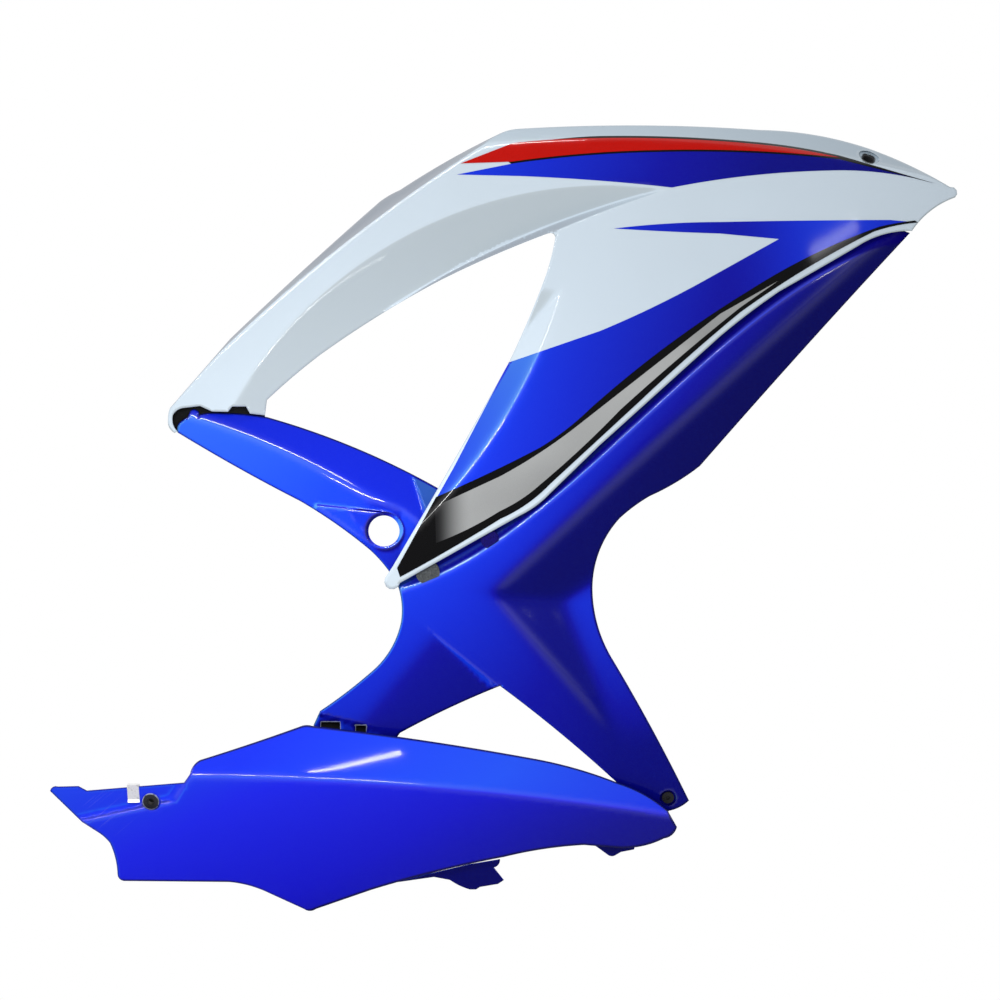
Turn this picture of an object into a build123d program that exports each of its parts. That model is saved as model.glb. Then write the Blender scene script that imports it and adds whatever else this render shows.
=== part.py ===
from build123d import *
from math import hypot
import os

os.makedirs("parts", exist_ok=True)

# Frame: X towards the front wheel, Y inboard, Z up.
# The origin is the centre of the frame hole in the middle panel's arm.
inboard = (0, 1, 0)

# Mouldings
wall = 3.2
rim = 3.0
lip = 12.0
seam_gap = 0.4
mid_setback = wall + seam_gap
reach = 300
block = 1500
facet_pitch = 40
facet_fit = 0.03

# Bowed side of the motorcycle, widest at the crown
crown_x = 176
crown_y = -28
crown_z = 181
bow_along = 4.2e-4
bow_nose = 2.6e-7
bow_up = 3.0e-4

# Outlines, seen from the side: x, z and the bulge of the edge that follows, to the left of travel
upper_outline = [
    (-214, 123, 0), (-154, 192, 1.3), (-4, 329.5, 0.7), (16, 341, 2), (116, 397.5, 0.7), (132, 402, 4.1),
    (376, 401, 4.4), (486, 382, 2.2), (566, 344, 4.7), (571, 333.5, -4.4), (528, 300, -4.3), (474, 285, 0.2),
    (396, 240, -1), (336, 194.5, 0), (216, 86, 0), (166, 37.5, 1.7), (136, 15.5, 0), (16, -52, 9),
    (1, -47, 0), (9, -35, -0.6), (124, 167, -1.2), (162, 256, -0.6), (171, 291, -3.4), (164, 297.5, -1.6),
    (56, 250.5, -2.4), (-64, 176, -0.9), (-117, 131, 0), (-119, 119.5, 0), (-134, 119.5, 0), (-138, 124.5, 0),
    (-152, 124.5, 0), (-156, 119.5, 0), (-172, 119.5, 0), (-184, 125, 0), (-201, 123, -1.5), (-211, 116, -2.4),
    (-206.5, 99.5, 0), (-209.5, 98, 2.6), (-216, 112, 0.6),
]
mid_outline = [
    (-207, 101, 1.8), (-201, 111, 0.5), (-196.5, 113.5, 0), (-193.5, 120.5, 1.2),
    (-187.5, 121.5, 0.8), (-184.5, 116.5, 0.8), (-164, 118.5, 0.9), (-117, 114, 5.4), (52, 44, 0), (93, 22, 0),
    (130, 41, 0), (198, 103, 0), (319, 213, 0), (380, 262, 0), (446, 295, 0), (502, 307, 0),
    (526, 298, -1.3), (316, 65, 1.8), (266, 35, -1), (236, 13, -7.4), (208.5, -59, -4.9), (229, -129, 1.7),
    (305, -269.5, 1.8), (284, -280, 0), (271, -279, 0), (252, -269, 0), (243, -261, -2.4), (116, -155, -1.7),
    (16, -202, 0), (8, -213, 0), (-66, -206, 0), (-70.4, -194, 0), (-64, -180, -1), (-14, -142, -5.2),
    (17, -91, -2.1), (14, -55, -2), (-14, -19, -1.8), (-84, 30, 1.3), (-204, 97, 1.1),
]
belly_outline = [
    (-334, -260, 2.2), (-326, -255.5, 0), (-305.5, -255, 0), (-297, -259.5, 0), (-200, -251.5, 0),
    (-194, -243, 2), (-184, -229, -0.6), (-84, -195.5, 1.1), (-72, -194.8, 2), (152, -228, 2),
    (232, -251, 3.3), (284, -280, 0), (293, -296, 2.7), (280, -307.5, 2.9), (236, -317, 0), (200, -314, -1.9),
    (120, -326, -1.9), (-13, -359, 0), (-68, -378, 2), (-80, -378, 0), (-115, -362, -1.9), (-155, -351, 0),
    (-260, -350, 1.9), (-266.5, -343, -1.6), (-274, -312, -0.5), (-284, -302.5, 0), (-302, -291, 0),
]


# Circle through three points, as centre and radius
def ring_through(first, middle, last):
    ax, az = middle[0] - first[0], middle[1] - first[1]
    bx, bz = last[0] - first[0], last[1] - first[1]
    double_area = 2 * (ax * bz - az * bx)
    a_square = ax**2 + az**2
    b_square = bx**2 + bz**2
    to_x = (bz * a_square - az * b_square) / double_area
    to_z = (ax * b_square - bx * a_square) / double_area
    return first[0] + to_x, first[1] + to_z, hypot(to_x, to_z)


def outside(ring, x, z):
    return hypot(x - ring[0], z - ring[1]) - ring[2]


# Distance to the right of the line from start to end
def right_of(start, end, x, z):
    run_x, run_z = end[0] - start[0], end[1] - start[1]
    return ((x - start[0]) * run_z - (z - start[1]) * run_x) / hypot(run_x, run_z)


def body_side(x, z):
    along = x - crown_x
    return crown_y + bow_along * along**2 + bow_nose * along**3 + bow_up * (z - crown_z) ** 2


# Upper panel: creases and the facets that fall away from them
upper_zone = (-240, 600, -80, 430)
arm_return = ring_through((-174, 169), (-34, 292), (111, 394))
arm_return_slope = 1.7
top_crease = ring_through((111, 388), (266, 393.5), (456, 374))
top_slope = 0.6
top_twist = 0.0028
top_twist_x = 116
arm_ridge = ring_through((-108, 189), (56, 312), (209, 346))
arm_ridge_slope = 0.4
trough_edge = ring_through((-119, 116), (169, 299), (288, 343))
trough_edge_slope = 2.2
bevel_crease = ring_through((178, 241), (116, 106), (34, 4))
bevel_slope = 0.6
bevel_top_z = 245
bevel_fade = 0.25
window_low, window_high = (-60, 60), (165, 290)
window_slope = 2.0


def arm_return_facet(x, z):
    return body_side(x, z) + arm_return_slope * outside(arm_return, x, z)


def top_facet(x, z):
    slope = top_slope + top_twist * max(0, x - top_twist_x)
    return body_side(x, z) + slope * outside(top_crease, x, z)


def trough_floor(x, z):
    return body_side(x, z) - arm_ridge_slope * outside(arm_ridge, x, z)


def trough_side(x, z):
    return body_side(x, z) + trough_edge_slope * outside(trough_edge, x, z)


def bevel_facet(x, z):
    return body_side(x, z) - bevel_slope * outside(bevel_crease, x, z)


def bevel_end(x, z):
    return body_side(x, z) + bevel_fade * (bevel_top_z - z)


def bevel_window(x, z):
    return body_side(x, z) + window_slope * right_of(window_low, window_high, x, z)


# Middle panel
mid_zone = (-240, 560, -310, 330)
leg_tuck = 3.0e-4
leg_tuck_z = -20
spine_top, spine_foot = (496, 291), (111, -61)
shin_top, shin_foot = (111, -66), (196, -164)
chest_slope = 0.55
chest_end_z = -200
chest_fade = 0.2
step_head, step_foot = (50, -104), (230, -250)
step_slope = 2.0
step_growth = 0.13
elbow_ridge = ring_through((-187, 113), (-84, 71.5), (4, 19))
elbow_slope = 0.5
root_low, root_high = (46, -29), (86, 51)
root_slope = 0.4
seam_mid_x = 270
seam_half = 250
seam_level = 134.7
seam_rise = 230.3
seam_sag = -8.5
seam_curl = -57.8
seam_lean = 0.77
joggle_width = 9.5
joggle_slope = 0.6
joggle_drop = 4.4
joggle_start_x = -20
joggle_fade = 0.12
strip_rear, strip_front = (-64, -183), (16, -202.5)
strip_slope = 1.5
strip_drop = 3.0
strip_end_x = 40
strip_fade = 0.1


def mid_side(x, z):
    return body_side(x, z) + mid_setback + leg_tuck * max(0, leg_tuck_z - z) ** 2


def chest_upper(x, z):
    return mid_side(x, z) + chest_slope * right_of(spine_foot, spine_top, x, z)


def chest_lower(x, z):
    return mid_side(x, z) + chest_slope * right_of(shin_foot, shin_top, x, z)


def chest_end(x, z):
    return mid_side(x, z) + chest_fade * (z - chest_end_z)


def leg_step(x, z):
    return mid_side(x, z) + step_slope * right_of(step_head, step_foot, x, z)


def leg_step_depth(x, z):
    run_x, run_z = step_foot[0] - step_head[0], step_foot[1] - step_head[1]
    along = ((x - step_head[0]) * run_x + (z - step_head[1]) * run_z) / hypot(run_x, run_z)
    return mid_side(x, z) + step_growth * along


def elbow_facet(x, z):
    return mid_side(x, z) + elbow_slope * outside(elbow_ridge, x, z)


def elbow_root(x, z):
    return mid_side(x, z) + root_slope * right_of(root_high, root_low, x, z)


def seam_height(x):
    along = (x - seam_mid_x) / seam_half
    return seam_level + seam_rise * along + seam_sag * along**2 + seam_curl * along**3


def joggle_facet(x, z):
    above = seam_lean * (z - seam_height(x)) + joggle_width
    return mid_side(x, z) + joggle_slope * above


def joggle_floor(x, z):
    return mid_side(x, z) + joggle_drop


def joggle_end(x, z):
    return mid_side(x, z) + joggle_fade * (x - joggle_start_x)


def strip_facet(x, z):
    return mid_side(x, z) + strip_slope * right_of(strip_rear, strip_front, x, z)


def strip_floor(x, z):
    return mid_side(x, z) + strip_drop


def strip_end(x, z):
    return mid_side(x, z) + strip_fade * (strip_end_x - x)


# Belly panel
belly_zone = (-360, 320, -400, -170)
belly_y = 12
belly_x = 10
belly_bow = 4.0e-4
belly_ridge = ring_through((-195, -245), (36, -255), (237, -277))
belly_upper_slope = 0.45
belly_lower_slope = 0.35
belly_lower_bow = 1.2e-3
flange_line_rear, flange_corner, flange_line_top = (-300.5, -291), (-210, -271.4), (-197, -251)
flange_step_slope = 1.2
flange_drop = 8


def belly_upper_facet(x, z):
    return belly_y + belly_bow * (x - belly_x) ** 2 + belly_upper_slope * outside(belly_ridge, x, z)


def belly_lower_facet(x, z):
    above = outside(belly_ridge, x, z)
    return belly_y + belly_bow * (x - belly_x) ** 2 - belly_lower_slope * above + belly_lower_bow * above**2


def flange_step_below(x, z):
    return belly_lower_facet(x, z) + flange_step_slope * right_of(flange_corner, flange_line_rear, x, z)


def flange_step_front(x, z):
    return belly_lower_facet(x, z) + flange_step_slope * right_of(flange_line_top, flange_corner, x, z)


def flange_floor(x, z):
    return belly_lower_facet(x, z) + flange_drop


# Smooth face of a facet over its zone
def facet(depth, zone):
    low_x, high_x, low_z, high_z = zone
    columns = round((high_x - low_x) / facet_pitch)
    rows = round((high_z - low_z) / facet_pitch)
    grid = []
    for i in range(columns + 1):
        x = low_x + (high_x - low_x) * i / columns
        heights = [low_z + (high_z - low_z) * j / rows for j in range(rows + 1)]
        grid.append([(x, depth(x, z), z) for z in heights])
    return Face.make_surface_from_array_of_points(grid, tol=facet_fit)


def draw(outline):
    for (x, z, bulge), (next_x, next_z, _) in zip(outline, outline[1:] + outline[:1]):
        run_x, run_z = next_x - x, next_z - z
        length = hypot(run_x, run_z)
        if bulge:
            middle = ((x + next_x) / 2 - bulge * run_z / length, (z + next_z) / 2 + bulge * run_x / length)
            ThreePointArc((x, z), middle, (next_x, next_z))
        else:
            Line((x, z), (next_x, next_z))


def behind(depth):
    return Pos(0, depth, 0)


# Plane that touches a form at a point and faces out
def seat(depth, x, z):
    slope_x = (depth(x + 1, z) - depth(x - 1, z)) / 2
    slope_z = (depth(x, z + 1) - depth(x, z - 1)) / 2
    return Plane((x, depth(x, z), z), x_dir=(1, slope_x, 0), z_dir=(slope_x, -1, slope_z))


# Fits
fit = 0.1
weld = 1.0
drill = 30

# Colour films, as outlines on the upper panel
film = 0.2
film_lift = 0.15
film_step = film + film_lift
film_margin = 0.3
band_foot = [
    (534, 308.5, -1.4), (490, 299.5, -3.4), (356, 218.5, -1.2), (256, 130, 0), (166, 47, 3), (116, 12, 1),
    (16, -46, 0),
]
band_border_outline = [
    (13, -37, 0), (52, 34, -1.2), (156, 83.4, -1.8), (206, 122.2, 4.6), (366, 241, 4.2), (496, 304.5, 0.5),
    (531, 310.5, 0),
]
band_outline = [
    (60, 29, 0), (116, 54.6, -2.1), (196, 107.2, 0), (336, 217, 0), (394, 250, 0), (356, 223.4, -1.3),
    (236, 121, 1.5), (156, 46.3, 1.8), (116, 20, 1.8), (62, -7, 0),
]
field_outline = [
    (13, -37, 0), (70, 64, 0), (124.5, 168.5, 0), (216, 200, -1.5), (316, 248, 0), (395, 292, 0),
    (336, 297.5, 0.4), (230, 302.5, 1.6), (336, 309, 0.4), (506, 311, 0),
]
stripe_outline = [
    (76.5, 367.6, 0), (129, 388, 1.2), (216, 393, 2), (366, 387.5, 1.7), (456, 373.5, -3), (276, 381, -2.4),
    (127, 369.3, 0),
]
stripe_border_outline = [
    (124, 369.5, 0), (150, 389, 1), (216, 395, 2), (366, 389.5, 1.7), (456, 375.5, 0), (551, 347.5, 0),
    (456, 371.6, -3), (276, 379, -2.4), (127, 367.2, 0),
]
spear_outline = [
    (73, 356.5, 0), (127, 367.2, 2.4), (276, 379, 3), (456, 371.6, 0), (551, 347.5, -4.2), (446, 360.5, -3.5),
    (288, 343.5, -1.4), (136, 355, 0),
]

# Seam fastenings: a screw from inside near each end, and hooks in slots between them
seam_spots = [(80, -2), (410, 262)]
boss_radius = 5.5
boss_rise = joggle_drop + mid_setback - wall
pilot_radius = 2.45
pilot_depth = boss_rise + 1.2
screw_hole_radius = 3.0
screw_seat_radius = 7.0
screw_seat = 4.2
screw_flange_radius = 6.0
screw_flange_thick = 1.0
head_radius = 4.0
head_height = 2.5
shank_radius = 2.4
shank_bite = 4.0
hook_spots = [(168, 57), (248, 131), (328, 203)]
hook_length, hook_thick = 14, 2.4
hook_bite = 2.0
hook_lip = 2.0
hook_room = 0.5
hook_grip = wall + fit

# Pads between the upper and middle panels
rear_pad_at = (44, -41)
rear_pad_radius = 12
front_pad_at = (106, -8)
front_pad_radius = 9
felt_thick = boss_rise - 4 * fit
felt_room = 0.3
tail_pad_fields = [(-195.5, 112, 35, 26), (-138.5, 118, 37, 14)]
tail_pad_depth = 8
tail_pad_thick = 3

# Recessed hole in the nose
nose_seat = seat(top_facet, 485, 374)
nose_hole_radius = 5.5
nose_recess_radius = 11
nose_recess = 2.5
nose_floor = 3.0
nose_boss_radius = 12

# Frame hole, in a flat that runs out to a point
frame_hole_radius = 15.5
pad_radius = 19
pad_tip = (-66, 24)
pad_tip_radius = 2

# Recess at the tip of the front leg, and the belly panel's ear and spring nut behind it
leg_seat = seat(mid_side, 284, -267)
leg_recess = 3.0
leg_recess_radius = 8.5
leg_floor = 3.0
leg_boss_radius = 10.5
leg_hole_radius = 3.5
leg_head_radius = 6.0
leg_head_height = 2.7
leg_shank_radius = 3.0
leg_socket_radius = 2.5
leg_socket_depth = 1.6
leg_point = 2.0
ear_radius = 10
ear_foot = (-9, -24)
ear_foot_radius = 6
ear_thick = 3.0
ear_room = 0.6
nut_seat = leg_seat.offset(-leg_recess - leg_floor - fit - ear_thick)
nut_width, nut_height, nut_thick = 14, 16, 1.0
nut_collar, nut_collar_radius = 4.0, 4.5

# Slots in the middle panel's rear leg as centre, length and height, and the belly panel's tongues in them
strip_slots = [(-53.5, -197, 19, 12), (-23, -199.75, 10, 10.5)]
tongues = [(-53.5, -200.5, 15, 3), (-23, -203, 7, 2.6)]
tongue_reach = 3

# Tabs below the belly panel
tab_setback = 8
front_tab = [
    (1, -353, 0), (50, -346, 0), (66, -349, -1), (86, -358.5, 0), (92, -358.5, 0), (96, -356, 0), (114, -353, 0),
    (120, -349, 0), (110, -336.5, -2), (116, -328, 0), (86, -333, 0),
]
rear_tab = [
    (208, -313, 0), (213, -316, 0), (224, -324, -1), (231, -324.5, 0), (237, -321, 0), (250, -318.5, 0),
    (252, -312, 0),
]

# Grommet seat and spring clip on the rear flange
flange_seat = seat(flange_floor, -233, -270)
grip = wall * abs(flange_seat.z_dir.Y)
flange_hole_radius = 6
grommet_plate_radius = 13
grommet_room_radius = 10
grommet_radius = 8.5
grommet_lip = 1.8
collar_radius = 4.2
collar_bore_radius = 3.2
collar_length = grip + 2 * (fit + grommet_lip)
flange_edge_room = [(-302, -262), (-302, -245), (-205, -240), (-205, -256)]
clip_seat = seat(flange_floor, -251, -255.7)
clip_side = Plane(clip_seat.origin, x_dir=clip_seat.y_dir, z_dir=clip_seat.x_dir)
clip_width = 12
clip_sheet = 1.0
clip_back = -grip - 0.4
clip_top = 1.0
clip_leg = -13
clip_flare = -16
clip_profile = [
    (clip_top + clip_sheet, clip_back - clip_sheet),
    (clip_top + clip_sheet, fit + clip_sheet),
    (clip_leg, fit + clip_sheet),
    (clip_flare, fit + 2.3 * clip_sheet),
    (clip_flare - 0.4, fit + 1.4 * clip_sheet),
    (clip_leg - 0.2, fit),
    (clip_top, fit),
    (clip_top, clip_back),
    (clip_leg - clip_sheet, clip_back),
    (clip_leg - clip_sheet, clip_back - clip_sheet),
]


# Plane on the middle panel's flange, turned to run along the seam
def flange_along_seam(x, z):
    rise = seam_height(x + 0.5) - seam_height(x - 0.5)
    flat = seat(joggle_floor, x, z)
    return Plane(flat.origin, x_dir=(1, 0, rise), z_dir=flat.z_dir)


def draw_ear(grow):
    Circle(ear_radius + grow)
    with Locations(ear_foot):
        Circle(ear_foot_radius + grow)
    make_hull()


# Solids behind each panel's outer face
with BuildPart() as arm_trough:
    extrude(facet(trough_floor, upper_zone), amount=block, dir=inboard)
    extrude(facet(trough_side, upper_zone), amount=block, dir=inboard)

with BuildPart() as blade_bevel:
    extrude(facet(bevel_facet, upper_zone), amount=block, dir=inboard)
    extrude(facet(bevel_end, upper_zone), amount=block, dir=inboard)
    extrude(facet(bevel_window, upper_zone), amount=block, dir=inboard)

with BuildPart() as upper_skin:
    extrude(facet(body_side, upper_zone), amount=block, dir=inboard)
    extrude(facet(arm_return_facet, upper_zone), amount=block, dir=inboard, mode=Mode.INTERSECT)
    extrude(facet(top_facet, upper_zone), amount=block, dir=inboard, mode=Mode.INTERSECT)
    add(arm_trough.part, mode=Mode.INTERSECT)
    add(blade_bevel.part, mode=Mode.INTERSECT)

with BuildPart() as chest_hollow:
    extrude(facet(chest_upper, mid_zone), amount=block, dir=inboard)
    extrude(facet(chest_lower, mid_zone), amount=block, dir=inboard)
    extrude(facet(chest_end, mid_zone), amount=block, dir=inboard)

with BuildPart() as leg_setback:
    extrude(facet(leg_step, mid_zone), amount=block, dir=inboard)
    extrude(facet(leg_step_depth, mid_zone), amount=block, dir=inboard)

with BuildPart() as elbow:
    extrude(facet(elbow_facet, mid_zone), amount=block, dir=inboard)
    extrude(facet(elbow_root, mid_zone), amount=block, dir=inboard)

with BuildPart() as joggle:
    extrude(facet(joggle_facet, mid_zone), amount=block, dir=inboard)
    extrude(facet(joggle_floor, mid_zone), amount=block, dir=inboard)
    extrude(facet(joggle_end, mid_zone), amount=block, dir=inboard)

with BuildPart() as strip:
    extrude(facet(strip_facet, mid_zone), amount=block, dir=inboard)
    extrude(facet(strip_floor, mid_zone), amount=block, dir=inboard)
    extrude(facet(strip_end, mid_zone), amount=block, dir=inboard)

with BuildPart() as mid_skin:
    extrude(facet(mid_side, mid_zone), amount=block, dir=inboard)
    add(chest_hollow.part, mode=Mode.INTERSECT)
    add(leg_setback.part, mode=Mode.INTERSECT)
    add(elbow.part, mode=Mode.INTERSECT)
    add(joggle.part, mode=Mode.INTERSECT)
    add(strip.part, mode=Mode.INTERSECT)

with BuildPart() as rear_flange:
    extrude(facet(flange_step_below, belly_zone), amount=block, dir=inboard)
    extrude(facet(flange_step_front, belly_zone), amount=block, dir=inboard)
    extrude(facet(flange_floor, belly_zone), amount=block, dir=inboard)

with BuildPart() as belly_skin:
    extrude(facet(belly_upper_facet, belly_zone), amount=block, dir=inboard)
    extrude(facet(belly_lower_facet, belly_zone), amount=block, dir=inboard, mode=Mode.INTERSECT)
    add(rear_flange.part, mode=Mode.INTERSECT)

# Side views of the panels
with BuildSketch(Plane.XZ) as upper_face:
    with BuildLine():
        draw(upper_outline)
    make_face()

with BuildSketch(Plane.XZ) as mid_face:
    with BuildLine():
        draw(mid_outline)
    make_face()

with BuildSketch(Plane.XZ) as belly_face:
    with BuildLine():
        draw(belly_outline)
    make_face()

with BuildSketch(Plane.XZ) as mid_shadow:
    offset(mid_face.sketch_local, amount=seam_gap)

# Hollows inside the returned edges, open where the middle panel passes behind
with BuildPart() as upper_pocket:
    extrude(offset(upper_face.sketch, amount=-rim, mode=Mode.PRIVATE), amount=reach, both=True)
    extrude(mid_shadow.sketch, amount=reach, both=True)
    add(upper_skin.part.moved(behind(wall)), mode=Mode.INTERSECT)

with BuildPart() as mid_pocket:
    extrude(offset(mid_face.sketch, amount=-rim, mode=Mode.PRIVATE), amount=reach, both=True)
    add(mid_skin.part.moved(behind(wall)), mode=Mode.INTERSECT)

with BuildPart() as belly_pocket:
    extrude(offset(belly_face.sketch, amount=-rim, mode=Mode.PRIVATE), amount=reach, both=True)
    extrude(mid_shadow.sketch, amount=reach, both=True)
    with BuildSketch(Plane.XZ):
        Polygon(*flange_edge_room, align=None)
    extrude(amount=reach, both=True)
    add(belly_skin.part.moved(behind(wall)), mode=Mode.INTERSECT)

# Upper panel, with screw bosses and hooks along the seam and a recessed hole in the nose
with BuildPart() as seam_bosses:
    for x, z in seam_spots:
        with BuildSketch(seat(joggle_floor, x, z).offset(fit)):
            Circle(boss_radius)
        extrude(amount=boss_rise + wall)
    add(upper_skin.part.moved(behind(weld)), mode=Mode.INTERSECT)

with BuildPart() as seam_hooks:
    for x, z in hook_spots:
        hook_plane = flange_along_seam(x, z)
        with BuildSketch(hook_plane.offset(-hook_grip - hook_lip)):
            Rectangle(hook_length, hook_thick)
        extrude(amount=hook_grip + hook_lip + boss_rise + wall)
        with BuildSketch(hook_plane.offset(-hook_grip)):
            with Locations((0, -hook_bite / 2)):
                Rectangle(hook_length, hook_thick + hook_bite)
        extrude(amount=-hook_lip)
    add(upper_skin.part.moved(behind(weld)), mode=Mode.INTERSECT)

with BuildPart() as nose_boss:
    with BuildSketch(nose_seat):
        Circle(nose_boss_radius)
    extrude(amount=-nose_recess - nose_floor)
    add(upper_skin.part.moved(behind(weld)), mode=Mode.INTERSECT)

with BuildPart() as upper_panel:
    extrude(upper_face.sketch, amount=reach, both=True)
    add(upper_skin.part, mode=Mode.INTERSECT)
    add(upper_pocket.part, mode=Mode.SUBTRACT)
    add(upper_skin.part.moved(behind(lip)), mode=Mode.SUBTRACT)
    add(seam_bosses.part)
    add(seam_hooks.part)
    add(nose_boss.part)
    for x, z in seam_spots:
        with BuildSketch(seat(joggle_floor, x, z)):
            Circle(pilot_radius)
        extrude(amount=pilot_depth, mode=Mode.SUBTRACT)
    with BuildSketch(nose_seat.offset(-nose_recess)):
        Circle(nose_recess_radius)
    extrude(amount=drill, mode=Mode.SUBTRACT)
    with BuildSketch(nose_seat):
        Circle(nose_hole_radius)
    extrude(amount=drill, both=True, mode=Mode.SUBTRACT)
upper_panel.part.label = "upper_panel"
export_step(upper_panel.part, "parts/upper_panel.step")

# Middle panel, with a flat round the frame hole, screw seats, hook slots and the leg's recess
with BuildSketch(Plane.XZ) as hole_pad:
    Circle(pad_radius)
    with Locations(pad_tip):
        Circle(pad_tip_radius)
    make_hull()

with BuildPart() as hole_plate:
    extrude(offset(hole_pad.sketch, amount=wall, mode=Mode.PRIVATE), amount=-wall)
    add(mid_skin.part, mode=Mode.INTERSECT)
    with BuildSketch(Plane.XZ):
        Circle(pad_radius)
    extrude(amount=-wall)

with BuildPart() as mid_panel:
    extrude(mid_face.sketch, amount=reach, both=True)
    add(mid_skin.part, mode=Mode.INTERSECT)
    add(mid_pocket.part, mode=Mode.SUBTRACT)
    add(mid_skin.part.moved(behind(lip)), mode=Mode.SUBTRACT)
    extrude(hole_pad.sketch, amount=reach, mode=Mode.SUBTRACT)
    with BuildSketch(Plane.XZ):
        Circle(pad_radius)
    extrude(amount=-lip, mode=Mode.SUBTRACT)
    add(hole_plate.part)
    with BuildSketch(Plane.XZ):
        Circle(frame_hole_radius)
    extrude(amount=drill, both=True, mode=Mode.SUBTRACT)
    for x, z in seam_spots:
        with BuildSketch(seat(joggle_floor, x, z).offset(-weld)):
            Circle(screw_seat_radius)
        extrude(amount=weld - screw_seat)
        with BuildSketch(seat(joggle_floor, x, z)):
            Circle(screw_hole_radius)
        extrude(amount=drill, both=True, mode=Mode.SUBTRACT)
    for x, z in hook_spots:
        with BuildSketch(flange_along_seam(x, z)):
            with Locations((0, hook_bite / 2)):
                Rectangle(hook_length + 2 * hook_room, hook_thick + hook_bite + 2 * hook_room)
        extrude(amount=drill, both=True, mode=Mode.SUBTRACT)
    with BuildSketch(leg_seat.offset(-weld)):
        Circle(leg_boss_radius)
    extrude(amount=weld - leg_recess - leg_floor)
    with BuildSketch(leg_seat.offset(-leg_recess)):
        Circle(leg_recess_radius)
    extrude(amount=drill, mode=Mode.SUBTRACT)
    with BuildSketch(leg_seat):
        Circle(leg_hole_radius)
    extrude(amount=drill, both=True, mode=Mode.SUBTRACT)
    with BuildSketch(leg_seat.offset(-leg_recess - leg_floor)):
        draw_ear(ear_room)
    extrude(amount=-drill, mode=Mode.SUBTRACT)
    with BuildSketch(Plane.XZ):
        for x, z, length, height in strip_slots:
            with Locations((x, z)):
                Rectangle(length, height)
    extrude(amount=reach, both=True, mode=Mode.SUBTRACT)
mid_panel.part.label = "mid_panel"
export_step(mid_panel.part, "parts/mid_panel.step")

# Belly panel, with bottom tabs, tongues for the middle panel's slots, an ear and a grommet seat
with BuildPart() as belly_tabs:
    with BuildSketch(Plane.XZ):
        with BuildLine():
            draw(front_tab)
        make_face()
        with BuildLine():
            draw(rear_tab)
        make_face()
    extrude(amount=reach, both=True)
    add(belly_skin.part.moved(behind(tab_setback)), mode=Mode.INTERSECT)
    add(belly_skin.part.moved(behind(tab_setback + wall)), mode=Mode.SUBTRACT)

with BuildPart() as belly_tongues:
    with BuildSketch(Plane.XZ):
        for x, z, length, height in tongues:
            with Locations((x, z)):
                Rectangle(length, height)
    extrude(amount=reach, both=True)
    add(belly_skin.part.moved(behind(weld)), mode=Mode.INTERSECT)
    add(mid_skin.part.moved(behind(wall + tongue_reach)), mode=Mode.SUBTRACT)

with BuildPart() as ear_rib:
    with BuildSketch(nut_seat):
        with Locations(ear_foot):
            Circle(ear_foot_radius)
    extrude(amount=drill)
    add(belly_skin.part.moved(behind(weld)), mode=Mode.INTERSECT)

with BuildPart() as grommet_plate:
    with BuildSketch(flange_seat):
        Circle(grommet_plate_radius)
    extrude(amount=-grip)
    add(belly_skin.part, mode=Mode.INTERSECT)

with BuildPart() as belly_panel:
    extrude(belly_face.sketch, amount=reach, both=True)
    add(belly_skin.part, mode=Mode.INTERSECT)
    add(belly_pocket.part, mode=Mode.SUBTRACT)
    add(belly_skin.part.moved(behind(lip)), mode=Mode.SUBTRACT)
    add(belly_tabs.part)
    add(belly_tongues.part)
    add(ear_rib.part)
    with BuildSketch(nut_seat):
        draw_ear(0)
    extrude(amount=ear_thick)
    with BuildSketch(nut_seat):
        Circle(leg_hole_radius)
    extrude(amount=drill, both=True, mode=Mode.SUBTRACT)
    with BuildSketch(flange_seat):
        Circle(grommet_room_radius)
    extrude(amount=drill, mode=Mode.SUBTRACT)
    add(grommet_plate.part)
    with BuildSketch(flange_seat):
        Circle(flange_hole_radius)
    extrude(amount=drill, both=True, mode=Mode.SUBTRACT)
belly_panel.part.label = "belly_panel"
export_step(belly_panel.part, "parts/belly_panel.step")

# Colour films on the upper panel, stacked where they overlap
with BuildSketch(Plane.XZ) as film_limit:
    offset(upper_face.sketch_local, amount=-film_margin)

with BuildSketch(Plane.XZ) as field_face:
    with BuildLine():
        draw(field_outline + band_foot)
    make_face()
    add(film_limit.sketch_local, mode=Mode.INTERSECT)

with BuildPart() as blue_field:
    extrude(field_face.sketch, amount=reach, both=True)
    add(upper_skin.part.moved(behind(-film_step)), mode=Mode.INTERSECT)
    add(upper_skin.part.moved(behind(-film_lift)), mode=Mode.SUBTRACT)
blue_field.part.label = "blue_field"
export_step(blue_field.part, "parts/blue_field.step")

with BuildSketch(Plane.XZ) as band_border_face:
    with BuildLine():
        draw(band_border_outline + band_foot)
    make_face()
    add(field_face.sketch_local, mode=Mode.INTERSECT)

with BuildPart() as seam_band_border:
    extrude(band_border_face.sketch, amount=reach, both=True)
    add(upper_skin.part.moved(behind(-2 * film_step)), mode=Mode.INTERSECT)
    add(upper_skin.part.moved(behind(-film_step - film_lift)), mode=Mode.SUBTRACT)
seam_band_border.part.label = "seam_band_border"
export_step(seam_band_border.part, "parts/seam_band_border.step")

with BuildSketch(Plane.XZ) as band_face:
    with BuildLine():
        draw(band_outline)
    make_face()
    add(band_border_face.sketch_local, mode=Mode.INTERSECT)

with BuildPart() as seam_band:
    extrude(band_face.sketch, amount=reach, both=True)
    add(upper_skin.part.moved(behind(-3 * film_step)), mode=Mode.INTERSECT)
    add(upper_skin.part.moved(behind(-2 * film_step - film_lift)), mode=Mode.SUBTRACT)
seam_band.part.label = "seam_band"
export_step(seam_band.part, "parts/seam_band.step")

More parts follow.
